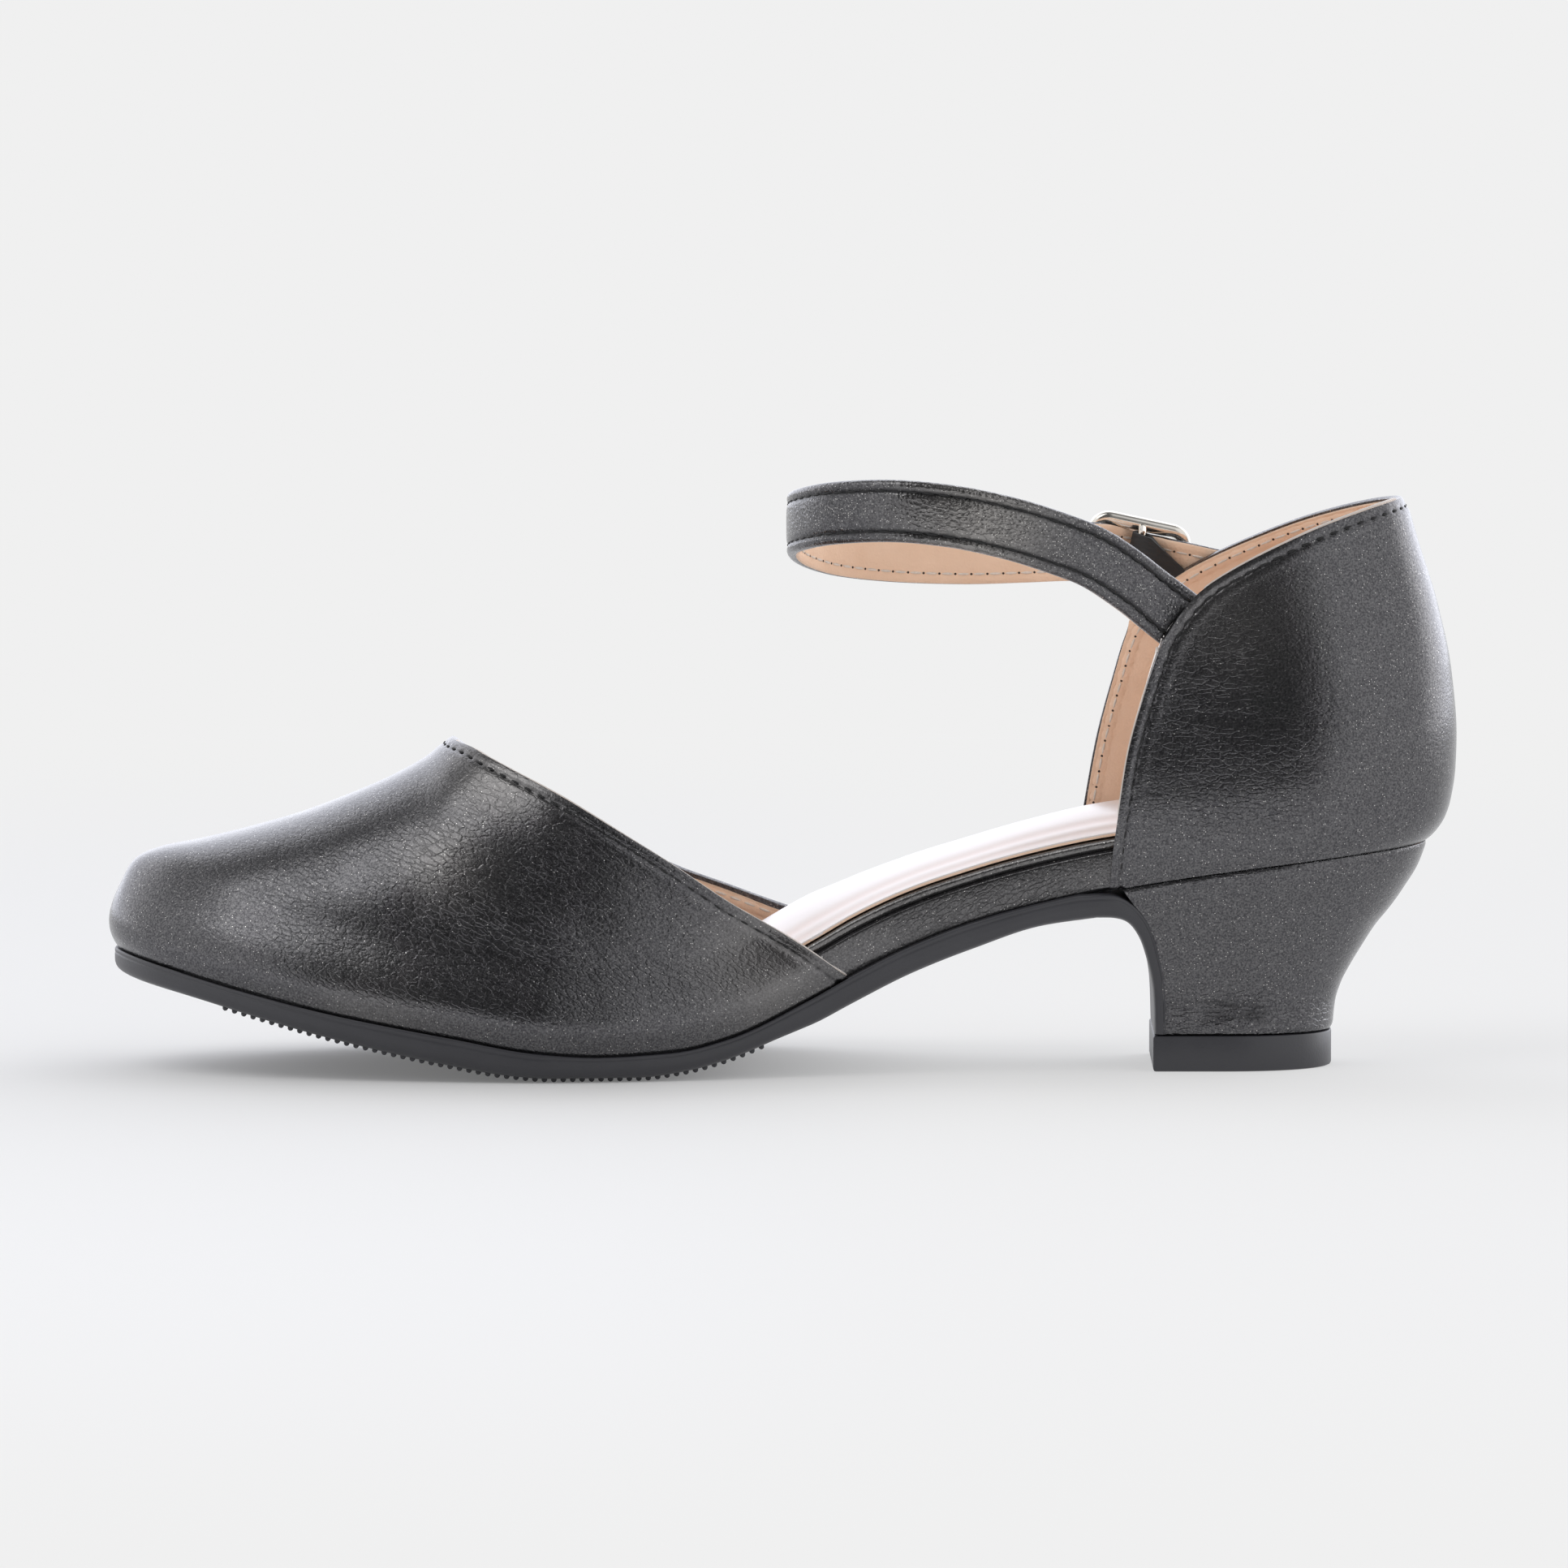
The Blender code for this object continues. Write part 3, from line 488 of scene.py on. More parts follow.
def press(bm, creases):
    """Soft troughs, or ridges where the depth is negative, along lines on a surface, with painted
    shade in each trough as its crease's shade says.
    """
    bm.normal_update()
    layer = bm.verts.layers.float.get("seam_and_painted_shade") or bm.verts.layers.float.new("seam_and_painted_shade")
    moves = []
    for vert in bm.verts:
        place = vert.co / MM
        sunk = 0.0
        for crease in creases:
            nearest, share = intersect_point_line(place, crease.start, crease.end)
            if 0 < share < 1:
                offset = place - nearest
                if offset.length < ON_SURFACE:
                    offset -= vert.normal * offset.dot(vert.normal)
                away = offset.length / crease.width
                trough = math.exp(-away * away) * math.sin(math.pi * share)
                sunk += crease.depth * trough
                # painted shade in the trough
                vert[layer] = max(vert[layer], crease.shade * trough)
        moves.append(vert.normal * -sunk * MM)
    shift(bm, moves)


def leatherette(name, turn, middle, reach, depth, grain=0.02, rare=0.86):
    """Coated leather, dark grey with metal flecks and a fine pebble grain. Its wrinkles run at an
    angle in the side view, and are deepest round a middle, with painted shade in their lines. Painted
    sheen makes it paler where the mesh marks it, and painted shade darker in seams and creases."""
    made, shader, place = finish(name)
    cloud = place.sized(14.0).noise(3.0)
    pebble = place.sized(0.6).cells("Distance")
    mottle = place.sized(0.33).noise(1.0)
    folds = place.sized(2.7, 2.6, 0.95, turn=(0.0, math.radians(turn), 0.0))
    strayed = place.sized(1.6).noise(out="Color")
    folds = place.node("VectorMath", {"operation": "ADD"}, {0: folds, 1: strayed})
    lines = folds.cells("Distance", "DISTANCE_TO_EDGE").step(0.0, 0.17)
    away = place.sized(*reach, centre=middle).length()
    wrinkled = (1 - away.step(0.1, 1.2)) * cloud.step(0.3, 0.6)
    flakes = place.sized(0.3)
    chance = flakes.node("SeparateColor", {}, {0: flakes.cells("Color")})
    fleck = chance.step(rare, 1.0) * (1 - flakes.cells("Distance").step(0.15, 0.36))
    seam_and_painted_shade, wear_and_painted_sheen = place.attribute("seam_and_painted_shade"), place.attribute("wear_and_painted_sheen")
    shade = mottle.step(0.28, 0.72).colour((0.070, 0.069, 0.075, 1), (0.162, 0.160, 0.165, 1))
    # painted sheen: paler colour where the mesh marks a highlight
    shade = wear_and_painted_sheen.colour(shade, (0.29, 0.28, 0.27, 1))
    # painted shade in the wrinkle lines
    shade = (0.5 * (1 - lines) * wrinkled).colour(shade, (0.02, 0.02, 0.022, 1))
    shade = fleck.colour(shade, (0.85, 0.83, 0.80, 1))
    place.feed(shader, {
        # painted shade: near black where the mesh marks seams, needle dents and creases
        "Base Color": seam_and_painted_shade.colour(shade, (0.012, 0.012, 0.013, 1)),
        "Metallic": 0.97,
        "Roughness": 0.2 + 0.1 * cloud - 0.08 * fleck,
        "Coat Weight": 0.1,
        "Coat Roughness": 0.2,
        "Normal": (lines * (0.25 + 0.75 * wrinkled) * depth + grain * pebble).bump(),
    })
    return made


bm = grid(ROUND_STEPS + FRONT_STEPS + 1, HEEL_LEVELS, heel_point)
close_up(bm)
press(bm, HEEL_CREASES)
heel_leather = leatherette("heel_leather", turn=4.0, middle=(83.0, 0.0, 10.5),
                           reach=(20.0, 60.0, 6.5), depth=0.11)
heel_cover = piece("heel_cover", bm, heel_leather)
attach(heel_cover, "root")
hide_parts("heel")

# Wrapped board
# The cushioned board that the foot stands on, wrapped in the upper's coated leather. The cover is
# folded over a cord, which shows at the open waist as a bead along the top edge.
BOARD_INSET = 2.2
BOARD_EDGE = (
    Edge(0.0, 0.5), Edge(0.02, 0.25), Edge(0.06, 0.14), Edge(0.4, 0.12), Edge(0.68, 0.2),
    Edge(0.73, 0.36), Edge(0.765, 0.8), Edge(0.79, 0.4), Edge(0.82, 0.1), Edge(0.865, -0.12),
    Edge(0.91, -0.12), Edge(0.955, 0.1), Edge(0.985, 0.45), Edge(1.0, 1.1),
)
BOARD_STATIONS = 170
BEAD_FROM, BEAD_BY = 0.78, 0.86      # levels of the board's edge
BEAD_PAINTED_SHEEN, SIDE_PAINTED_SHEEN = 0.45, 0.16 # painted sheen: paler colour where the stretched leather would shine

board_height = column(LAST, "board")
board_inset = column(BOARD_EDGE, "inset")
board_stops = section_stops(edge_steps=72, top_steps=6, bottom_steps=6)


def board_bottom(x):
    return seat(x) + GAP


def board_top(x):
    return board_bottom(x) + board_height(x)


def board_point(i, j):
    across, level = board_stops[i]
    x = station(TOE_X + END_STEP, HEEL_X - END_STEP, j / (BOARD_STATIONS - 1))
    return plate_point(x, across, level, board_inset(level) + BOARD_INSET, board_bottom, board_top)


bm = grid(len(board_stops), BOARD_STATIONS, board_point)
# painted sheen on the board: a little paler on its side, most on the bead
wear_and_painted_sheen = bm.verts.layers.float.new("wear_and_painted_sheen")
bm.verts.ensure_lookup_table()
for vert in bm.verts:
    level = board_stops[vert.index % len(board_stops)][1]
    vert[wear_and_painted_sheen] = mix(SIDE_PAINTED_SHEEN, BEAD_PAINTED_SHEEN, soft_step(BEAD_FROM, BEAD_BY, level))
close_up(bm)
board_leather = leatherette("board_leather", turn=-30.0, middle=(35.0, 0.0, 32.0),
                            reach=(40.0, 60.0, 12.0), depth=0.02)
board = piece("board_cover", bm, board_leather)
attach(board, "root")
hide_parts("wrapped_board")

# Insole
# A thin foam pad under a pearly rose sock of coated leather, glued on the board. The cut edge
# shows the tan backing, and soft channels run along the edge where the sock is pulled down.
INSOLE_EDGE = 0.7
CROWN_POWER = 2.4
INSOLE_STATIONS, INSOLE_ACROSS, INSOLE_RIM = 170, 64, 3
Channel = namedtuple("Channel", "inset depth width")
CHANNELS = (Channel(2.0, 0.16, 1.2), Channel(6.4, 0.3, 2.0))
SOCK_CUT = 0.35                     # height of the tan backing at the cut edge

crown = column(LAST, "crown")
sock_inset = column(LAST, "sock")
insole_end = INSOLE_ACROSS + 2 * INSOLE_RIM


def insole_point(i, j):
    x = station(TOE_X + END_STEP, HEEL_X - END_STEP, j / (INSOLE_STATIONS - 1))
    medial, lateral = (rim(edge, x, sock_inset(x)) for edge in (medial_edge, lateral_edge))
    across = min(max((i - INSOLE_RIM) / INSOLE_ACROSS, 0.0), 1.0)
    if i > insole_end:
        across = 0.0
    a, y = mix(medial, lateral, across)
    level = min(1.0, i / INSOLE_RIM, max(0.0, (insole_end - i) / INSOLE_RIM))
    inset = min(across, 1 - across) * (lateral - medial).length
    rise = INSOLE_EDGE + crown(x) * (1 - abs(2 * across - 1) ** CROWN_POWER)
    for channel in CHANNELS:
        off = (inset - channel.inset) / channel.width
        rise -= channel.depth * math.exp(-off * off)
    return a, y, board_top(a) + GAP + rise * level


def tan_lining():
    """Thin tan leather: fine pores and a soft cloudy colour, with a painted highlight along its cut
    edge on the inner side of the foot.
    """
    made, shader, place = finish("tan_lining")
    cloud = place.sized(6.0).noise(4.0)
    pores = place.sized(0.45).cells("Distance")
    painted_edge_highlight = place.attribute("painted_edge_highlight")
    shade = cloud.colour((0.84, 0.58, 0.41, 1), (0.95, 0.71, 0.54, 1))
    place.feed(shader, {
        "Base Color": painted_edge_highlight.colour(shade, (0.97, 0.93, 0.90, 1)),
        "Roughness": 0.55 + 0.12 * cloud,
        "Normal": (0.05 * pores + 0.07 * cloud).bump(),
    })
    return made


def rose_pearl():
    """Pearl-coated sock: near white with a soft metallic sheen, with painted rose shade along the
    channels where it is pressed down.
    """
    made, shader, place = finish("rose_pearl")
    cloud = place.sized(18.0, 8.0, 8.0).noise(3.0)
    grain = place.sized(0.9).noise(1.0)
    painted_channel_shade = place.attribute("painted_channel_shade")
    shade = cloud.colour((0.71, 0.66, 0.645, 1), (0.78, 0.745, 0.735, 1))
    place.feed(shader, {
        # painted shade: rose darker colour along the channels
        "Base Color": (0.5 * painted_channel_shade).colour(shade, (0.70, 0.55, 0.50, 1)),
        "Metallic": 0.25,
        "Roughness": 0.28 + 0.08 * cloud,
        "Normal": (0.008 * grain).bump(),
    })
    return made


bm = grid(insole_end + 2, INSOLE_STATIONS, insole_point)
# painted shade along the channels, for the sock's finish
layer = bm.verts.layers.float.new("painted_channel_shade")
for vert in bm.verts:
    x, y, z = vert.co / MM
    inset = min(y - medial_edge(x), lateral_edge(x) - y) - sock_inset(x)
    vert[layer] = sum(math.exp(-((inset - row.inset) / row.width) ** 2) for row in CHANNELS)
close_up(bm)
lining = tan_lining()
for face in bm.faces:
    middle = face.calc_center_median() / MM
    above = middle.z - board_top(middle.x) - GAP
    face.material_index = 0 if above > SOCK_CUT else 1
insole = piece("insole_pad", bm, rose_pearl(), lining)
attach(insole, "root")
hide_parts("insole")

# Vamp
# The closed front of the upper: coated leather lasted over toe and ball, lined with thin tan
# leather. The throat's edge is folded over and sewn through with one row of dark thread.
THROAT_PEAK_X = -60.4
TOE_BULGE, TOE_BULGE_RISE = 2.2, 18.0
Ridge = namedtuple("Ridge", "x z y fullness")
RIDGE = (
    Ridge(-121.0, 21.1, -3.0, 2.4),
    Ridge(-119.9, 32.6, -3.1, 2.4),
    Ridge(-119.0, 36.1, -3.2, 2.4),
    Ridge(-117.6, 37.8, -3.4, 2.4),
    Ridge(-113.3, 39.6, -3.8, 2.4),
    Ridge(-105.9, 41.1, -4.4, 2.35),
    Ridge(-91.2, 44.9, -5.2, 2.25),
    Ridge(-76.4, 50.4, -5.8, 2.15),
    Ridge(-66.0, 55.6, -6.0, 2.08),
    Ridge(THROAT_PEAK_X, 59.8, -6.0, 2.05),
    Ridge(-45.0, 68.0, -5.6, 2.0),
    Ridge(-10.0, 84.0, -4.4, 2.0),
    Ridge(20.0, 95.0, -3.0, 2.0),
)
Throat = namedtuple("Throat", "x medial lateral")
THROAT = (
    Throat(THROAT_PEAK_X, 59.8, 59.8),
    Throat(-57.0, 59.0, 55.8),
    Throat(-54.0, 57.6, 53.3),
    Throat(-50.0, 55.7, 50.6),
    Throat(-40.0, 50.7, 44.0),
    Throat(-30.0, 44.8, 38.2),
    Throat(-20.0, 38.6, 33.0),
    Throat(-10.0, 31.8, 29.4),
    Throat(0.0, 25.8, 25.8),
    Throat(12.0, 17.3, 21.6),
    Throat(20.0, 11.5, 18.6),
)
VAMP_ROUND, VAMP_LONG = 261, 116
EDGE_ROWS, EDGE_BAND, EDGE_FIRST = 26, 9.5, 0.5     # closer rows along an open edge
LEATHER_THICK, LINING_THICK, LINING_GAP = 1.0, 0.58, 0.02
FOLD_ROUND, LINING_ROUND = 0.42, 0.1
LINING_MEDIAL, VAMP_LATERAL = 0.26, -1.3            # edge of the lining beyond the leather's
LEAN_BASE, LEAN_MOST = 0.4, 0.6                     # how far the trim makes up for an edge that leans
# EDGE_HIGHLIGHT_REACH is the width of the painted highlight along the lining's cut edge
TRIM_REACH, EDGE_HIGHLIGHT_REACH, ON_EDGE = 5.0, 0.3, 0.05
SIDE_BLEND = 6.0                    # the inner side of the foot turns into the outer within this
# SEAM_SHADE and NEEDLE_SHADE: how much shade is painted into the stitch groove and the needle dents
SEAM_INSET, SEAM_DEPTH, SEAM_WIDTH, SEAM_SHADE = 1.8, 0.16, 0.45, 0.35
NEEDLE_DEPTH, NEEDLE_WIDTH, NEEDLE_SHADE = 0.2, 0.5, 0.8
EDGE_PUFF, FOLD_WIDTH = 0.07, 0.7   # leather stands up on both sides of the seam
BEYOND_SEAM, BEYOND_WIDTH = 1.4, 0.9
SEAM_STEP = 0.4
STITCH_PITCH, STITCH_LENGTH, STITCH_RADIUS = 2.95, 2.2, 0.24
DARK_STITCH, DARK_SUNK = 1.6, 0.02  # a shorter stitch, sunk into the leather
HOLE_FLAT = 0.06                    # half height of a needle hole's dark spot of painted shade
TOE_WELD = 0.01
SheenSpot = namedtuple("SheenSpot", "place reach amount")
# painted sheen: paler spots on the vamp that stand in for highlights
VAMP_SHEEN_SPOTS = (
    SheenSpot((-50.0, -22.0, 53.0), 10.0, 0.5),
    SheenSpot((-60.0, -31.0, 38.0), 8.0, 0.5),
    SheenSpot((-74.0, -37.0, 13.5), 12.0, 0.2),
    SheenSpot((-3.0, -30.0, 21.0), 11.0, 0.45),
)
VAMP_CREASES = (
    Crease((-72.0, -34.0, 33.0), (-38.0, -36.0, 18.0), 0.28, 4.5),
    Crease((-60.0, -30.0, 43.0), (-24.0, -35.0, 22.0), 0.22, 4.0),
    Crease((-66.0, -33.0, 37.0), (-30.0, -36.0, 19.0), -0.2, 3.6),
    Crease((-70.0, 32.0, 33.0), (-36.0, 36.0, 18.0), 0.26, 4.5),
    Crease((-58.0, 30.0, 41.0), (-24.0, 36.0, 21.0), 0.2, 4.0),
)

ridge_z = column(RIDGE, "z", warp=foot_turn)
ridge_y = column(RIDGE, "y")
fullness = column(RIDGE, "fullness")
throat_medial, throat_lateral = (column(THROAT, side) for side in ("medial", "lateral"))


def vamp_height(x, turn):
    lift = math.sin(turn) ** (2 / fullness(x))
    return mix(seat(x), ridge_z(x), lift) + GAP


def throat_end(turn):
    """Place along the foot where the vamp's open edge crosses this line of the last."""
    throat = throat_medial if turn < math.pi / 2 else throat_lateral
    low, high = THROAT_PEAK_X, THROAT[-1].x
    halvings = 40
    for _ in range(halvings):
        middle = (low + high) / 2
        if vamp_height(middle, turn) < throat(middle) + GAP:
            low = middle
        else:
            high = middle
    return low


def vamp_line(v, steps=160):
    """Points of the last from the throat to the toe, on one line from medial (0) to lateral (1)."""
    turn = math.pi * v
    edge = medial_edge if v < 0.5 else lateral_edge
    outward = -1 if v < 0.5 else 1
    end = throat_end(turn)
    step = 0.25
    points = []
    for i in range(steps + 1):
        x = mix(TOE_X, end, 1 - math.cos((1 - i / steps) * math.pi / 2))
        reach = abs(math.cos(turn)) ** (2 / fullness(x))
        y = mix(ridge_y(x), edge(x), reach)
        z = vamp_height(x, turn)
        slope = (edge(x + step) - edge(x)) / step * outward
        rise = min(1.0, (z - seat(x) - GAP) / TOE_BULGE_RISE)
        swell = TOE_BULGE * 27 / 4 * rise * (1 - rise) ** 2     # full at a third of the rise
        length = math.hypot(slope, 1.0)
        points.append((x - swell * slope / length, y + outward * swell * reach / length, z))
    return points


def edge_steps(total, count):
    """Distances from an open edge: a first step for the fold, a close band, then even steps."""
    close = np.linspace(EDGE_FIRST, EDGE_BAND, EDGE_ROWS)
    return np.concatenate(([0.0], close, np.linspace(EDGE_BAND, total, count - EDGE_ROWS)[1:]))


def spread(points, distances):
    """Points along a path, at the distances that a function gives for its whole length."""
    points = np.array(points)
    lengths = np.linalg.norm(np.diff(points, axis=0), axis=1)
    along = np.concatenate(([0.0], np.cumsum(lengths)))
    places = distances(along[-1])
    return np.stack([np.interp(places, along, points[:, k]) for k in range(3)], axis=1)


def resample(points, step):
    """Points along a path at equal steps, in the path's own unit."""
    return [Vector(row) for row in spread(points, lambda total: np.arange(0.0, total, step))]


def seam_line(bm, edge, inset):
    """The path on a surface at a distance from its open edge, as points and normals in metres."""
    surface = BVHTree.FromBMesh(bm)
    line = []
    for before, point, after in zip(edge, edge[1:], edge[2:]):
        normal = surface.find_nearest(point)[1]
        side = normal.cross(after - before).normalized() * inset * MM
        hits = [surface.find_nearest(point + move) for move in (side, -side)]
        best = min(hits, key=lambda hit: hit[3])
        line.append((best[0], best[1]))
    return line


def tree_of(points):
    tree = KDTree(len(points))
    for i, point in enumerate(points):
        tree.insert(point, i)
    tree.balance()
    return tree


def press_seam(bm, edge, line):
    """Pull a row of stitches down into a surface, deepest at each needle hole, beside a soft fold,
    with painted shade in the groove and the needle dents.
    """
    bm.normal_update()
    layer = bm.verts.layers.float.get("seam_and_painted_shade")
    sewn = tree_of([point for point, _ in line])
    needles = tree_of(resample([point for point, _ in line], STITCH_PITCH * MM))
    open_edge = tree_of(edge)
    moves = []
    for vert in bm.verts:
        off = sewn.find(vert.co)[2] / MM / SEAM_WIDTH
        from_needle = needles.find(vert.co)[2] / MM / NEEDLE_WIDTH
        from_edge = open_edge.find(vert.co)[2] / MM
        trough, dent = math.exp(-off * off), math.exp(-from_needle * from_needle)
        fold = math.exp(-((from_edge - SEAM_INSET / 2) / FOLD_WIDTH) ** 2)
        beyond = math.exp(-((from_edge - SEAM_INSET - BEYOND_SEAM) / BEYOND_WIDTH) ** 2)
        # painted shade in the groove and the needle dents
        vert[layer] = max(vert[layer], SEAM_SHADE * trough ** 4, NEEDLE_SHADE * dent ** 2)
        raised = EDGE_PUFF * (fold + beyond) - SEAM_DEPTH * trough - NEEDLE_DEPTH * dent
        moves.append(vert.normal * raised * MM)
    shift(bm, moves)


def sewn_edge(bm, edge):
    """Press a row of stitches in along an open edge, and give its path on the pressed surface."""
    path = resample(edge, SEAM_STEP * MM)
    press_seam(bm, edge, seam_line(bm, path, SEAM_INSET))
    return seam_line(bm, path, SEAM_INSET)


def sew(line, sunk=0.0, length=STITCH_LENGTH):
    """A row of stitches along points and normals, as one mesh of small rounded threads."""
    bm = bmesh.new()
    points = [point for point, _ in line]
    normals = tree_of(points)
    places = resample(points, STITCH_PITCH * MM)
    for start, following in zip(places, places[1:]):
        ahead = (following - start).normalized()
        out = line[normals.find(start)[1]][1]
        across = out.cross(ahead).normalized()
        middle = (start + following) / 2 - out * sunk * MM
        axes = Matrix((across * STITCH_RADIUS, out * STITCH_RADIUS, ahead * length / 2)) * MM
        bmesh.ops.create_uvsphere(bm, u_segments=8, v_segments=6, radius=1.0,
                                  matrix=Matrix.Translation(middle) @ axes.transposed().to_4x4())
    return bm


def needle_shade_spots(line):
    """Painted shade in the needle dents between stitches, as one mesh of flat dark round spots."""
    bm = bmesh.new()
    points = [point for point, _ in line]
    normals = tree_of(points)
    flat = Matrix.Diagonal((STITCH_RADIUS * MM, STITCH_RADIUS * MM, HOLE_FLAT * MM, 1.0))
    for place in resample(points, STITCH_PITCH * MM):
        out = line[normals.find(place)[1]][1]
        turned = out.to_track_quat("Z", "Y").to_matrix().to_4x4()
        bmesh.ops.create_uvsphere(bm, u_segments=8, v_segments=4, radius=1.0,
                                  matrix=Matrix.Translation(place) @ turned @ flat)
    return bm


def inside(line):
    """A path moved through leather and lining to the inner face, with its normals turned."""
    depth = LEATHER_THICK + LINING_GAP + LINING_THICK
    return [(point - normal * depth * MM, -normal) for point, normal in line]


def thread(name, colour):
    made, shader, place = finish(name)
    twist = place.sized(0.5, turn=(0.6, 0.4, 0.0)).noise(1.0)
    dark = [part * 0.7 for part in colour]
    place.feed(shader, {"Base Color": twist.colour((*dark, 1), (*colour, 1)),
                        "Roughness": 0.5 + 0.2 * twist})
    return made


def walled(made, thick, fold):
    """Give an open sheet its thickness inwards, and round its edges."""
    wall = made.modifiers.new("wall", "SOLIDIFY")
    wall.thickness = thick * MM
    wall.offset = -1.0
    rounding = made.modifiers.new("fold", "BEVEL")
    rounding.width = fold * MM
    rounding.segments = 3
    rounding.limit_method = "ANGLE"
    rounding.angle_limit = math.radians(SHARP_EDGE)
    return made


def outer_side(y):
    """0 on the inner side of the foot, 1 on its outer side."""
    return soft_step(-SIDE_BLEND, SIDE_BLEND, y)


def trim(place, normal, lateral):
    """How far the lining stands out beyond the leather's edge: on the inner side enough to show
    above an edge that leans, on the outer side as given."""
    lean = max(0.0, normal.z) / max(LEAN_BASE, math.hypot(normal.x, normal.y))
    medial = LINING_MEDIAL + LEATHER_THICK * min(lean, LEAN_MOST)
    return mix(medial, lateral, outer_side(place.y))


def inner_sheet(bm, edge, proud):
    """A copy of a surface, moved in by the leather's thickness. Its own edge is trimmed as
    proud(place, normal) says."""
    copy = bm.copy()
    copy.normal_update()
    painted_edge_highlight = copy.verts.layers.float.new("painted_edge_highlight")
    open_edge = tree_of(edge)
    moves = []
    for vert in copy.verts:
        move = vert.normal * -(LEATHER_THICK + LINING_GAP) * MM
        nearest, _, away = open_edge.find(vert.co)
        if away < TRIM_REACH * MM:
            outwards = nearest - vert.co
            if away < ON_EDGE * MM:
                inner = max((link.other_vert(vert) for link in vert.link_edges),
                            key=lambda near: open_edge.find(near.co)[2])
                outwards = vert.co - inner.co
            fade = (1 - away / MM / TRIM_REACH) ** 2
            inner_side = 1 - outer_side(vert.co.y / MM)
            # painted highlight along the lining's cut edge, on the inner side of the foot only
            vert[painted_edge_highlight] = inner_side * math.exp(-(away / MM / EDGE_HIGHLIGHT_REACH) ** 2)
            move += outwards.normalized() * proud(vert.co / MM, vert.normal) * fade * MM
        moves.append(move)
    shift(copy, moves)
    return copy


def paint_sheen(bm, spots):
    """Painted sheen: leather coloured paler round some places, standing in for highlights."""
    layer = bm.verts.layers.float.new("wear_and_painted_sheen")
    for vert in bm.verts:
        for spot in spots:
            away = (vert.co / MM - Vector(spot.place)).length / spot.reach
            vert[layer] = max(vert[layer], spot.amount * math.exp(-away * away))


vamp_lines = [spread(vamp_line(j / (VAMP_ROUND - 1)), lambda total: edge_steps(total, VAMP_LONG))
              for j in range(VAMP_ROUND)]
vamp_edge = [Vector(line[0]) * MM for line in vamp_lines]
bm = grid(VAMP_LONG, VAMP_ROUND, lambda i, j: vamp_lines[j][VAMP_LONG - 1 - i])
bmesh.ops.remove_doubles(bm, verts=bm.verts, dist=TOE_WELD * MM)
press(bm, VAMP_CREASES)
throat_seam = sewn_edge(bm, vamp_edge)
vamp_inside = inner_sheet(bm, vamp_edge, lambda place, normal: trim(place, normal, VAMP_LATERAL))
paint_sheen(bm, VAMP_SHEEN_SPOTS)

dark_thread = thread("dark_thread", (0.012, 0.012, 0.013))
pale_thread = thread("pale_thread", (0.88, 0.79, 0.71))
# the needle holes' shade, painted as dark spots
needle_hole_shade = thread("needle_hole_shade", (0.05, 0.03, 0.02))
vamp_leather = leatherette("vamp_leather", turn=28.0, middle=(-52.0, 0.0, 30.0),
                           reach=(62.0, 120.0, 30.0), depth=0.05)


def upper_pieces(name, outside, look, lined, seam_and_painted_shade):
    """One half of the upper: its leather, its lining, and its seam on both faces."""
    leather = walled(piece(name + "_leather", outside, look), LEATHER_THICK, FOLD_ROUND)
    backing = walled(piece(name + "_lining", lined, lining), LINING_THICK, LINING_ROUND)
    stitches = piece(name + "_stitches", sew(seam_and_painted_shade, DARK_SUNK, DARK_STITCH), dark_thread)
    inner_stitches = piece(name + "_inner_stitches", sew(inside(seam_and_painted_shade)), pale_thread)
    for part, slot in ((leather, "metallic_leather"), (backing, "tan_lining"),
                       (stitches, "metallic_leather"), (inner_stitches, "tan_lining")):
        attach(part, "root")
    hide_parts(name)


upper_pieces("vamp", bm, vamp_leather, vamp_inside, throat_seam)

# Quarter
# The back of the upper, round the heel from one side of the waist to the other, stiffened and
# lined like the vamp. One row of stitches follows its front edges and its collar.
QUARTER_RISE = 62.6
Back = namedtuple("Back", "rise x half")
QUARTER_BACK = (
    Back(0.0, 117.1, 24.2),
    Back(1.1, 118.4, 24.7),
    Back(4.0, 120.4, 25.4),
    Back(7.0, 121.4, 25.8),
    Back(13.0, 122.3, 26.0),
    Back(19.0, 122.5, 25.6),
    Back(31.0, 121.5, 23.7),
    Back(43.0, 119.0, 21.4),
    Back(55.0, 115.3, 19.2),
    Back(60.2, 113.7, 18.3),
    Back(QUARTER_RISE, 112.3, 17.9),
)
Front = namedtuple("Front", "level medial lateral")
QUARTER_FRONT = (
    Front(0.0, 58.9, 52.9),
    Front(0.16, 59.5, 54.3),
    Front(0.32, 60.5, 55.5),
    Front(0.54, 62.1, 57.4),
    Front(0.76, 64.9, 60.1),
    Front(0.95, 67.9, 62.9),
    Front(1.0, 69.0, 64.4),
)
Collar = namedtuple("Collar", "share z")
COLLAR = (
    Collar(0.0, 103.5), Collar(0.09, 102.6), Collar(0.33, 99.3), Collar(0.56, 95.0),
    Collar(0.73, 91.2), Collar(0.85, 87.8), Collar(0.92, 84.6), Collar(1.0, 79.6),
)
FLARE_MEDIAL, FLARE_LATERAL, FLARE_TOP = -0.8, 1.0, 2.0
LINING_SHOWN_FROM, LINING_SHOWN_BY = 44.5, 48.5     # heights where the lining comes off the board
LINING_HIDDEN, QUARTER_LATERAL = -0.5, -0.42
STRAP_ENTRY, STRAP_ENTRY_REACH = Vector((71.6, -19.5, 82.7)), 7.0
FOLD_SHARE, CLOSE_SHARE, CLOSE_COLUMNS, ROUND_COLUMNS = 0.0034, 0.0024, 18, 170
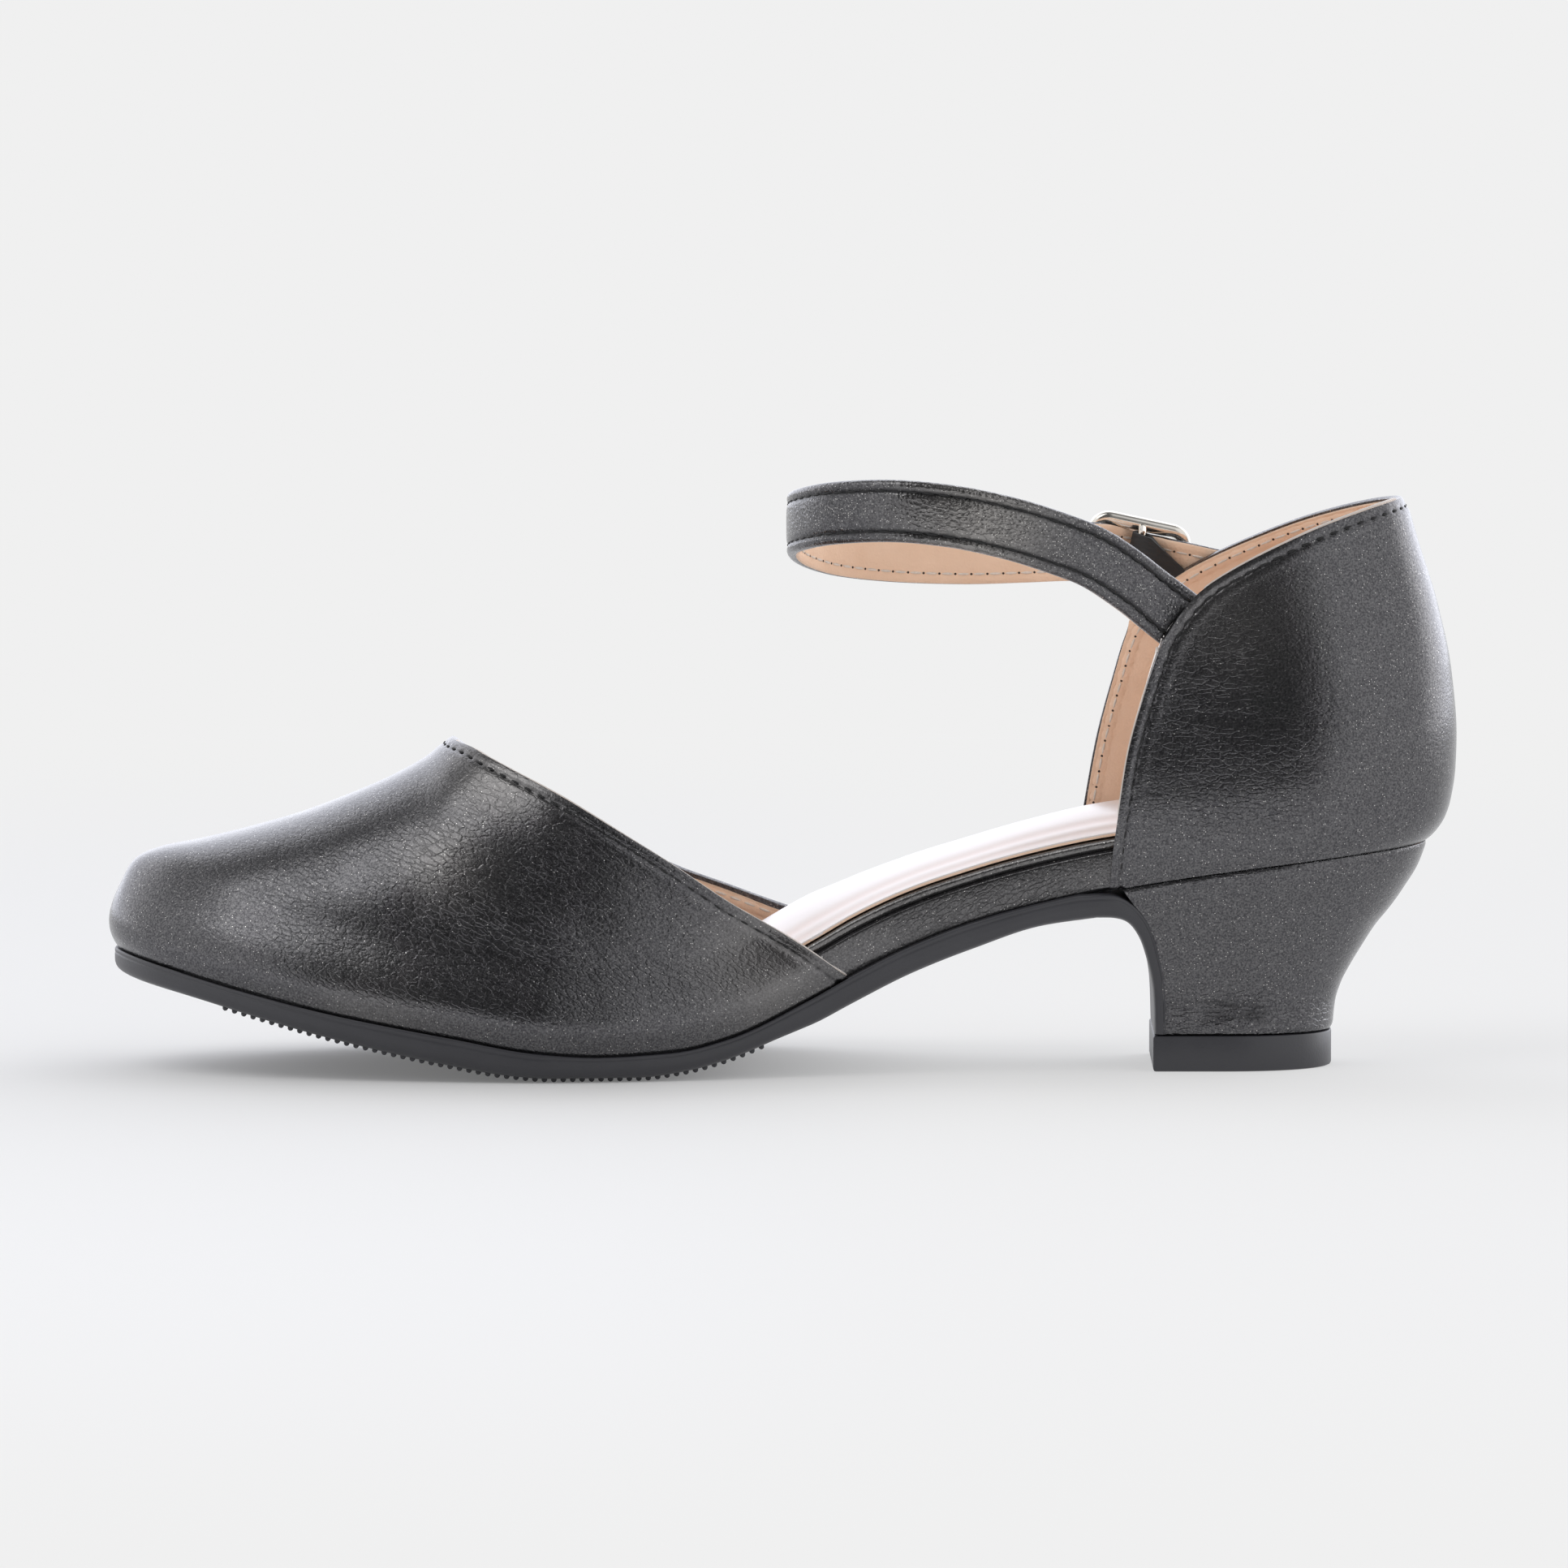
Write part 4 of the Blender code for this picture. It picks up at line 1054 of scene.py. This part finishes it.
COLLAR_FROM, COLLAR_FOLD, LOW_ROWS, COLLAR_ROWS = 0.86, 0.99, 72, 24
# painted sheen: a paler spot on the quarter that stands in for a highlight
QUARTER_SHEEN_SPOTS = (SheenSpot((82.0, -21.0, 82.0), 11.0, 0.3),)
QUARTER_CREASES = (
    Crease((66.0, -24.6, 66.5), (92.0, -24.6, 64.0), 0.16, 1.6),
    Crease((68.0, -24.8, 62.5), (88.0, -25.0, 61.0), 0.13, 1.2),
    Crease((64.0, -23.6, 70.5), (90.0, -23.8, 68.0), 0.12, 1.8),
    Crease((66.0, 24.8, 65.5), (90.0, 24.8, 63.5), 0.15, 1.6),
    Crease((68.0, 24.0, 70.0), (88.0, 23.8, 68.5), 0.11, 1.8),
)

back_x, ankle_half = (column(QUARTER_BACK, name) for name in ("x", "half"))
front_medial, front_lateral = (column(QUARTER_FRONT, side) for side in ("medial", "lateral"))
collar_z = column(COLLAR, "z")


def quarter_place(u, v):
    medial = u < 0.5
    front = front_medial if medial else front_lateral
    share = 1 - math.cos(abs(2 * u - 1) * math.pi / 2)
    rear = back_x(v * QUARTER_RISE)
    x = mix(rear, front(v), share)
    bottom = seat(mix(HEEL_X, front(0), share)) + GAP
    z = mix(bottom, collar_z(share), v)
    half = ankle_half(z - bottom) * nose(rear - x, mix(NOSE_BOTTOM, NOSE_TOP, v))
    half += mix(FLARE_MEDIAL if medial else FLARE_LATERAL, FLARE_TOP, v) * share ** 3
    return x, -half if medial else half, z


def quarter_trim(place, normal):
    if (place - STRAP_ENTRY).length < STRAP_ENTRY_REACH:
        return LINING_HIDDEN
    shown = soft_step(LINING_SHOWN_FROM, LINING_SHOWN_BY, place.z)
    return mix(LINING_HIDDEN, trim(place, normal, QUARTER_LATERAL), shown)


close = [0.0] + [FOLD_SHARE + CLOSE_SHARE * k for k in range(CLOSE_COLUMNS + 1)]
quarter_round = close + list(np.linspace(close[-1], 1 - close[-1], ROUND_COLUMNS)[1:-1])
quarter_round += [1 - share for share in reversed(close)]
quarter_high = list(np.linspace(0.0, COLLAR_FROM, LOW_ROWS))
quarter_high += list(np.linspace(COLLAR_FROM, COLLAR_FOLD, COLLAR_ROWS)[1:]) + [1.0]
bm = grid(len(quarter_round), len(quarter_high),
          lambda i, j: quarter_place(quarter_round[i], quarter_high[j]))
quarter_edge = [Vector(quarter_place(0.0, v)) * MM for v in quarter_high]
quarter_edge += [Vector(quarter_place(u, 1.0)) * MM for u in quarter_round[1:-1]]
quarter_edge += [Vector(quarter_place(1.0, v)) * MM for v in reversed(quarter_high)]
press(bm, QUARTER_CREASES)
collar_seam = sewn_edge(bm, quarter_edge)
quarter_inside = inner_sheet(bm, quarter_edge, quarter_trim)
paint_sheen(bm, QUARTER_SHEEN_SPOTS)

quarter_leather = leatherette("quarter_leather", turn=2.0, middle=(78.0, 0.0, 64.0),
                              reach=(36.0, 80.0, 24.0), depth=0.04)
upper_pieces("quarter", bm, quarter_leather, quarter_inside, collar_seam)
# dark spots of painted shade at the needle holes on the lining along the seam
holes = piece("quarter_needle_shade_spots", needle_shade_spots(inside(collar_seam)), needle_hole_shade)
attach(holes, "root")

# Ankle strap
# A band of coated leather with both edges folded in, lined with tan leather and sewn along each
# edge. It comes out of the quarter's inner side, goes round the ankle and through the buckle.
STRAP_STEPS = 8
Path = namedtuple("Path", "x y z lean")
STRAP = (
    Path(78.0, -18.8, 77.4, 0.16),
    Path(72.5, -18.5, 81.6, 0.16),
    Path(67.5, -18.9, 85.5, 0.14),
    Path(62.4, -20.8, 89.6, 0.10),
    Path(56.0, -23.3, 93.9, 0.06),
    Path(49.0, -25.6, 96.8, 0.03),
    Path(41.0, -27.2, 99.4, 0.0),
    Path(31.0, -28.2, 101.6, 0.0),
    Path(20.0, -27.0, 102.6, 0.0),
    Path(9.5, -21.6, 101.9, 0.0),
    Path(3.4, -12.0, 100.2, 0.0),
    Path(1.6, -2.0, 98.4, 0.0),
    Path(3.9, 8.0, 95.8, 0.0),
    Path(9.8, 18.0, 93.4, 0.0),
    Path(20.0, 25.0, 91.8, 0.0),
    Path(33.0, 27.4, 91.2, -0.04),
    Path(44.0, 25.8, 91.6, -0.10),
    Path(51.5, 22.5, 92.1, -0.16),
    Path(56.7, 21.2, 91.9, -0.16),
    Path(60.2, 24.0, 91.2, -0.16),
    Path(64.2, 26.9, 90.3, -0.16),
    Path(68.7, 24.8, 89.3, -0.16),
    Path(72.4, 22.9, 88.4, -0.16),
    Path(80.0, 22.6, 86.6, -0.17),
    Path(90.0, 22.7, 84.2, -0.19),
    Path(96.5, 22.4, 82.6, -0.21),
    Path(99.5, 22.1, 81.9, -0.22),
)
STRAP_TIP, TIP_LEAST = 6.0, 0.04    # length of the rounded end, and its width at the very end
BUCKLE_CENTRE = Vector((64.3, 25.2, 90.5))
PRONG_HOLE = Vector((60.2, 24.0, 91.2))
HOLE_STEPS, HOLE_PITCH = range(-2, 4), 7.0
HOLE_RADIUS, HOLE_CUT = 0.9, 6.0
STRAP_PINCH, STRAP_PINCH_REACH = 0.05, 6.0       # narrowing inside the buckle
ENTRY_LINE = (Vector((68.1, -20.0, 78.1)), Vector((75.1, -20.0, 87.3)))
# painted sheen: a paler patch on the strap that stands in for a highlight
STRAP_SHEEN_SPOTS = (SheenSpot((35.0, -28.0, 101.2), 11.5, 1.0),)
ENTRY_SHADE = 1.3                   # width of the painted shadow in the crease where the strap goes into the quarter
STRAP_SEAM, STRAP_SEAM_SHADE = 3.65, 0.45       # place of the groove for the stitches, and width of the painted shade along it
FACE_SEAM, INNER_SEAM = 0.84, -1.12             # depths of the stitches
UNSEWN_START, UNSEWN_END = 6, 10                # points of the path that have no stitches
Rim = namedtuple("Rim", "across depth")
STRAP_RIM = (                       # half the section: from the middle of the face round the edge
    Rim(0.0, 1.2), Rim(1.4, 1.19), Rim(2.5, 1.15), Rim(3.0, 1.08), Rim(3.3, 0.92),
    Rim(STRAP_SEAM, 0.8), Rim(4.0, 0.9), Rim(4.3, 1.04), Rim(4.7, 1.06), Rim(5.1, 0.92),
    Rim(5.4, 0.66), Rim(5.58, 0.3), Rim(5.65, -0.1), Rim(5.6, -0.5), Rim(5.52, -0.62),
    Rim(5.5, -1.0), Rim(5.3, -1.2), Rim(4.2, -1.2), Rim(STRAP_SEAM, -1.08), Rim(3.1, -1.2),
    Rim(1.6, -1.2), Rim(0.0, -1.2),
)
STRAP_LINED_FROM = 14               # from this row of STRAP_RIM on, the section is lining

strap_path = curve_through(STRAP, STRAP_STEPS)
strap_section = [(row.across, row.depth) for row in STRAP_RIM]
strap_section += [(-across, depth) for across, depth in reversed(strap_section[1:-1])]
strap_section.append(strap_section[0])
strap_along = [0.0]
for before, after in zip(strap_path, strap_path[1:]):
    strap_along.append(strap_along[-1] + (after - before).to_3d().length)


def upright(ahead, lean):
    """The direction across a band that stands on its edge and leans in y."""
    up = Vector((0.0, lean, 1.0))
    return (up - ahead * up.dot(ahead)).normalized()


def band_axes(path, j):
    """Point, upward and outward direction at one place on a band's path."""
    before, after = path[max(j - 1, 0)], path[min(j + 1, len(path) - 1)]
    ahead = (after - before).to_3d().normalized()
    up = upright(ahead, path[j][3])
    return path[j].to_3d(), up, up.cross(ahead)


def strap_point(i, j):
    point, up, out = band_axes(strap_path, j)
    across, depth = strap_section[i]
    left = min(1.0, (strap_along[-1] - strap_along[j]) / STRAP_TIP)
    narrow = mix(TIP_LEAST, 1.0, math.sqrt(max(0.0, 1 - (1 - left) ** 2)))
    narrow *= 1 - STRAP_PINCH * math.exp(-((point - BUCKLE_CENTRE).length / STRAP_PINCH_REACH) ** 2)
    return point + up * across * narrow + out * depth


def strap_line(across, depth):
    """A path along the strap with its normals, for stitches."""
    line = []
    for j in range(UNSEWN_START, len(strap_path) - UNSEWN_END):
        point, up, out = band_axes(strap_path, j)
        line.append(((point + up * across + out * depth) * MM, out * math.copysign(1, depth)))
    return line


bm = grid(len(strap_section), len(strap_path), strap_point)
layer = bm.verts.layers.float.new("seam_and_painted_shade")
paint_sheen(bm, STRAP_SHEEN_SPOTS)
bm.verts.ensure_lookup_table()
columns = len(strap_section)
lined = range(STRAP_LINED_FROM, columns - 1 - STRAP_LINED_FROM)
for face in bm.faces:
    numbers = [vert.index % columns for vert in face.verts]
    face.material_index = 1 if all(n in lined or n - 1 in lined for n in numbers) else 0
# painted shade along the face's stitch grooves, and a painted shadow where the strap goes into the
# quarter
for vert in bm.verts:
    across, depth = strap_section[vert.index % columns]
    off = (abs(across) - STRAP_SEAM) / STRAP_SEAM_SHADE
    place = vert.co / MM
    nearest, _ = intersect_point_line(place, *ENTRY_LINE)
    away = (place - nearest).length / ENTRY_SHADE
    groove = math.exp(-off * off) if depth > 0 else 0.0
    vert[layer] = max(groove, math.exp(-away * away) if place.y < 0 else 0.0)
close_up(bm)
strap_leather = leatherette("strap_leather", turn=10.0, middle=(40.0, 0.0, 97.0),
                            reach=(60.0, 90.0, 40.0), depth=0.03, grain=0.07, rare=0.62)
strap = piece("strap_leather", bm, strap_leather, lining)
bm = bmesh.new()
prong_at = min(range(len(strap_path)), key=lambda j: (strap_path[j].to_3d() - PRONG_HOLE).length)
for step in HOLE_STEPS:
    j = bisect_right(strap_along, strap_along[prong_at] + step * HOLE_PITCH)
    point, _, out = band_axes(strap_path, j)
    turned = Matrix.Translation(point * MM) @ out.to_track_quat("Z", "Y").to_matrix().to_4x4()
    bmesh.ops.create_cone(bm, cap_ends=True, segments=24, radius1=HOLE_RADIUS * MM,
                          radius2=HOLE_RADIUS * MM, depth=HOLE_CUT * MM, matrix=turned)
punch = piece("strap_punch", bm)
punched = strap.modifiers.new("punched", "BOOLEAN")
punched.object = punch
punched.operation = "DIFFERENCE"
strap_seen = strap.evaluated_get(bpy.context.evaluated_depsgraph_get())
strap.data = bpy.data.meshes.new_from_object(strap_seen)
strap.modifiers.remove(punched)
bpy.data.objects.remove(punch)
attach(strap, "root")
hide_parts("ankle_strap")
# the last rows give painted shade at the needle holes inside the strap
for name, depth, make, look, slot in (
        ("strap_stitches_", FACE_SEAM, sew, dark_thread, "metallic_leather"),
        ("strap_inner_stitches_", INNER_SEAM, sew, pale_thread, "tan_lining"),
        ("strap_needle_shade_spots_", INNER_SEAM, needle_shade_spots, needle_hole_shade, "tan_lining")):
    for side, across in (("upper", STRAP_SEAM), ("lower", -STRAP_SEAM)):
        part = piece(name + side, make(strap_line(across, depth)), look)
        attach(part, "root")

# Buckle
# A bent and soldered steel frame with rounded corners and a pale bright plating, a set-back bar
# across its middle, and a prong that turns on the bar and rests on the front of the frame.
BUCKLE_ALONG = Vector((16.4, 1.3, -3.6))
BUCKLE_LEAN = -0.16
BUCKLE_HALF_LENGTH, BUCKLE_HALF_HEIGHT = 8.4, 6.5
BUCKLE_CORNER, CORNER_STEPS = 2.6, 8
FRAME_DEEP, FRAME_THICK = 1.2, 1.25     # half sizes of the wire's section
FRAME_SQUARE = 0.8                      # below 1 the section is squarer than an oval
BAR_WIRE, BAR_SET_BACK, BAR_FOOT = 0.75, 2.6, 0.6
PRONG = (Vector((-1.2, 0.0, -2.4)), Vector((-3.2, 0.0, -1.2)), Vector((-5.4, 0.0, 1.4)),
         Vector((-8.4, 0.0, 2.15)), Vector((-10.2, 0.0, 1.7)))
PRONG_WIRE, PRONG_TIP, PRONG_STEPS = 0.9, 0.6, 6
EYE_RADIUS, EYE_WIRE, EYE_STEPS = 1.4, 0.36, 24
RING_STEPS = 16

buckle_along = BUCKLE_ALONG.normalized()
buckle_up = upright(buckle_along, BUCKLE_LEAN)
buckle_out = buckle_up.cross(buckle_along)


def on_buckle(along, up, out):
    return BUCKLE_CENTRE + buckle_along * along + buckle_up * up + buckle_out * out


def ring(step):
    angle = 2 * math.pi * step / RING_STEPS
    return math.cos(angle), math.sin(angle)


def wire(points, flat, radii):
    """A round wire through points of the buckle's own space, which lie in a plane across flat."""
    def place(i, j):
        ahead = points[min(j + 1, len(points) - 1)] - points[max(j - 1, 0)]
        side = ahead.cross(flat).normalized()
        across, along = ring(i)
        return on_buckle(*(points[j] + (flat * across + side * along) * radii[j]))
    bm = grid(RING_STEPS + 1, len(points), place)
    close_up(bm)
    return bm


def pale_metal():
    """Bright plating, a little worn: fine rubbing marks in the gloss."""
    made, shader, place = finish("pale_metal")
    wear_and_painted_sheen = place.sized(2.0, 2.0, 0.5).noise(3.0)
    place.feed(shader, {
        "Base Color": wear_and_painted_sheen.colour((0.71, 0.675, 0.615, 1), (0.84, 0.81, 0.76, 1)),
        "Metallic": 1.0,
        "Roughness": 0.10 + 0.14 * wear_and_painted_sheen,
    })
    return made


frame_line = []
for corner, (along, up) in enumerate(((-1, -1), (1, -1), (1, 1), (-1, 1))):
    middle = Vector((along * (BUCKLE_HALF_LENGTH - BUCKLE_CORNER),
                     up * (BUCKLE_HALF_HEIGHT - BUCKLE_CORNER)))
    for step in range(CORNER_STEPS + 1):
        angle = (corner + 2 + step / CORNER_STEPS) * math.pi / 2
        outwards = Vector((math.cos(angle), math.sin(angle)))
        frame_line.append((middle + outwards * BUCKLE_CORNER, outwards))


def frame_point(i, j):
    point, outwards = frame_line[j % len(frame_line)]
    thick, deep = (math.copysign(abs(part) ** FRAME_SQUARE, part) for part in ring(i))
    along, up = point + outwards * thick * FRAME_THICK
    return on_buckle(along, up, deep * FRAME_DEEP)


bm = grid(RING_STEPS + 1, len(frame_line) + 1, frame_point)
close_up(bm)
metal = pale_metal()
buckle_frame = piece("buckle_frame_metal", bm, metal)
bar_end = BUCKLE_HALF_HEIGHT - BAR_FOOT
bar_line = [Vector((0.0, -BUCKLE_HALF_HEIGHT, 0.0)), Vector((0.0, -bar_end, -BAR_SET_BACK)),
            Vector((0.0, bar_end, -BAR_SET_BACK)), Vector((0.0, BUCKLE_HALF_HEIGHT, 0.0))]
bar_radii = [BAR_WIRE] * len(bar_line)
buckle_bar = piece("buckle_bar_metal", wire(bar_line, Vector((1.0, 0.0, 0.0)), bar_radii), metal)
prong_line = curve_through(PRONG, PRONG_STEPS)
prong_radii = [mix(PRONG_WIRE, PRONG_TIP, j / (len(prong_line) - 1)) for j in range(len(prong_line))]
upwards = Vector((0.0, 1.0, 0.0))
prong = piece("buckle_prong_metal", wire(prong_line, upwards, prong_radii), metal)
eye_line = [Vector((EYE_RADIUS * math.cos(angle), 0.0, EYE_RADIUS * math.sin(angle) - BAR_SET_BACK))
            for angle in (2 * math.pi * k / EYE_STEPS for k in range(EYE_STEPS + 1))]
prong_eye = piece("buckle_prong_eye", wire(eye_line, upwards, [EYE_WIRE] * len(eye_line)), metal)
for part in (buckle_frame, buckle_bar, prong, prong_eye):
    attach(part, "root")
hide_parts("buckle_frame")
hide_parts("buckle_prong")

# Buckle tab
# A band of black elastic folded round the buckle's bar. Both layers are sewn in between the
# quarter's leather and its lining on the outer side.
TAB_HALF, TAB_THICK, TAB_THIN = 5.5, 0.42, 0.25     # half sizes of the band, and at its sewn ends
TAB_FALL, TAB_FALL_FROM = 0.6, 1.5                 # the band goes back and down from the bar
TAB_LINE = (                                        # as along and out in the buckle's own space
    Vector((10.5, -5.85)), Vector((8.0, -5.6)), Vector((6.0, -5.32)), Vector((4.0, -4.95)),
    Vector((2.5, -4.1)), Vector((1.3, -2.6)), Vector((0.0, -1.3)), Vector((-1.3, -2.6)),
    Vector((-0.8, -3.9)), Vector((0.7, -5.0)), Vector((2.5, -5.6)), Vector((4.0, -5.8)),
    Vector((6.0, -6.0)), Vector((8.0, -6.15)), Vector((10.5, -6.3)),
)
TAB_THIN_FROM, TAB_THIN_BY = 3.0, 8.0
TAB_ROUND, TAB_CORNER = 0.2, 1.0                    # edges that turn by more radians are rounded
TAB_STEPS = 6

tab_line = curve_through(TAB_LINE, TAB_STEPS)
tab_section = ((-1, -1), (-1, 1), (1, 1), (1, -1))


def tab_point(i, j):
    ahead = tab_line[min(j + 1, len(tab_line) - 1)] - tab_line[max(j - 1, 0)]
    side = Vector((-ahead.y, ahead.x)).normalized()
    across, outward = tab_section[i % len(tab_section)]
    thick = mix(TAB_THICK, TAB_THIN, soft_step(TAB_THIN_FROM, TAB_THIN_BY, tab_line[j].x))
    along, out = tab_line[j] + side * outward * thick
    fall = TAB_FALL * max(0.0, tab_line[j].x - TAB_FALL_FROM)
    return on_buckle(along, across * TAB_HALF - fall, out)


def black_elastic():
    """Woven elastic: dull black with fine ribs along the band."""
    made, shader, place = finish("black_elastic")
    turn = (0.0, math.atan2(-BUCKLE_ALONG.z, BUCKLE_ALONG.x), 0.0)
    rib = place.sized(4.0, 4.0, 0.55, turn=turn).noise(1.0)
    place.feed(shader, {
        "Base Color": rib.colour((0.008, 0.008, 0.009, 1), (0.022, 0.022, 0.024, 1)),
        "Roughness": 0.62,
        "Normal": (0.12 * rib).bump(),
    })
    return made


elastic = black_elastic()
bm = grid(len(tab_section) + 1, len(tab_line), tab_point)
close_up(bm)
bmesh.ops.bevel(bm, geom=[edge for edge in bm.edges if edge.calc_face_angle() > TAB_CORNER],
                offset=TAB_ROUND * MM, affect="EDGES", segments=3, profile=0.5, material=-1)
tab = piece("buckle_tab_elastic", bm, elastic)
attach(tab, "root")
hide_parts("buckle_tab")

# Floor, light and camera
# A pale paper floor that glows a little away from the shoe, in a white tent that is open and dark
# towards the camera and overhead, with one soft box high up in front on the toe's side.
FLOOR_HALF = 6.0
PAPER = (0.87, 0.87, 0.87, 1)
PAPER_GLOW = (0.871, 0.871, 0.871, 1)
PAPER_BLACK = (0.0, 0.0, 0.0, 1)
GLOW_FROM, GLOW_BY = 0.3, 0.75          # distances from the middle of the shoe, in metres
TOE_SHADE, HEEL_SHADE = 0.85, 0.43      # how much less the paper glows close to the shoe
SHADE_BLEND = 0.04
bm = bmesh.new()
bmesh.ops.create_grid(bm, x_segments=2, y_segments=2, size=FLOOR_HALF)
paper, shader, place = finish("paper")
away = place.length()
along = place.node("SeparateXYZ", {}, {0: place})
near = 1 - away.step(GLOW_FROM, GLOW_BY)
glow = 1 - near * (TOE_SHADE - (TOE_SHADE - HEEL_SHADE) * along.step(-SHADE_BLEND, SHADE_BLEND))
place.feed(shader, {
    "Base Color": glow.colour(PAPER, PAPER_BLACK),
    "Emission Color": glow.colour(PAPER_BLACK, PAPER_GLOW),
    "Emission Strength": 1.0,
    "Specular IOR Level": 0.0,
    "Roughness": 1.0,
})
floor = piece("paper_floor", bm, paper)

TENT_LIGHT, HEEL_LIGHT, BACK_LIGHT = 0.95, 1.1, 1.0
CAMERA_DARK, OVERHEAD_DARK = 0.91, 0.75
world = bpy.data.worlds.new("tent")
bpy.context.scene.world = world
world.use_nodes = True
sky = Socket(world.node_tree)
direction = sky.node("TexCoord", {}, {}, out="Generated")
x, y, z = (sky.node("SeparateXYZ", {}, {0: direction}, out=k) for k in range(3))
level = sky.node("VectorMath", {"operation": "MULTIPLY"}, {0: direction, 1: (1.0, 1.0, 0.0)})
level = sky.node("VectorMath", {"operation": "NORMALIZE"}, {0: level})
level_x, level_y = (sky.node("SeparateXYZ", {}, {0: level}, out=k) for k in range(2))
camera_side = (-0.08 * level_x - 0.997 * level_y).step(0.865, 0.98)
behind_heel = (0.8 * x + 0.6 * y).step(0.75, 0.98)
behind_shoe = y.step(0.1, 0.6)
tent = TENT_LIGHT + HEEL_LIGHT * behind_heel + BACK_LIGHT * behind_shoe
tent = tent * (1 - CAMERA_DARK * camera_side)
sky.feed(world.node_tree.nodes["Background"], {
    "Color": y.step(0.3, 0.9).colour((0.99, 0.99, 1.0, 1), (0.93, 0.95, 1.03, 1)),
    "Strength": tent * (1 - OVERHEAD_DARK * z.step(0.7, 0.95)),
})

BOX_PLACE, BOX_SIZE, BOX_POWER = Vector((-0.50, -0.52, 1.20)), 0.8, 2.9
lamp = bpy.data.lights.new("soft_box", "AREA")
lamp.size = BOX_SIZE
lamp.energy = BOX_POWER
soft_box = bpy.data.objects.new("soft_box", lamp)
soft_box.location = BOX_PLACE
soft_box.rotation_euler = (-BOX_PLACE).to_track_quat("-Z", "Y").to_euler()
bpy.context.scene.collection.objects.link(soft_box)

VIEW_RISE = math.radians(4.7)
VIEW_DISTANCE = 3.0
VIEW_WIDTH = 0.2857
VIEW_TARGET = Vector((0.0, 0.0, 0.051))
SENSOR = 36.0
camera_data = bpy.data.cameras.new("camera")
camera_data.sensor_width = SENSOR
camera_data.lens = SENSOR * VIEW_DISTANCE / VIEW_WIDTH
camera_data.clip_end = 50.0
camera = bpy.data.objects.new("camera", camera_data)
view_from = Vector((0.0, -math.cos(VIEW_RISE), math.sin(VIEW_RISE)))
camera.location = VIEW_TARGET + VIEW_DISTANCE * view_from
camera.rotation_euler = (math.pi / 2 - VIEW_RISE, 0.0, 0.0)
bpy.context.scene.collection.objects.link(camera)
bpy.context.scene.camera = camera
bpy.context.scene.view_settings.view_transform = "Standard"
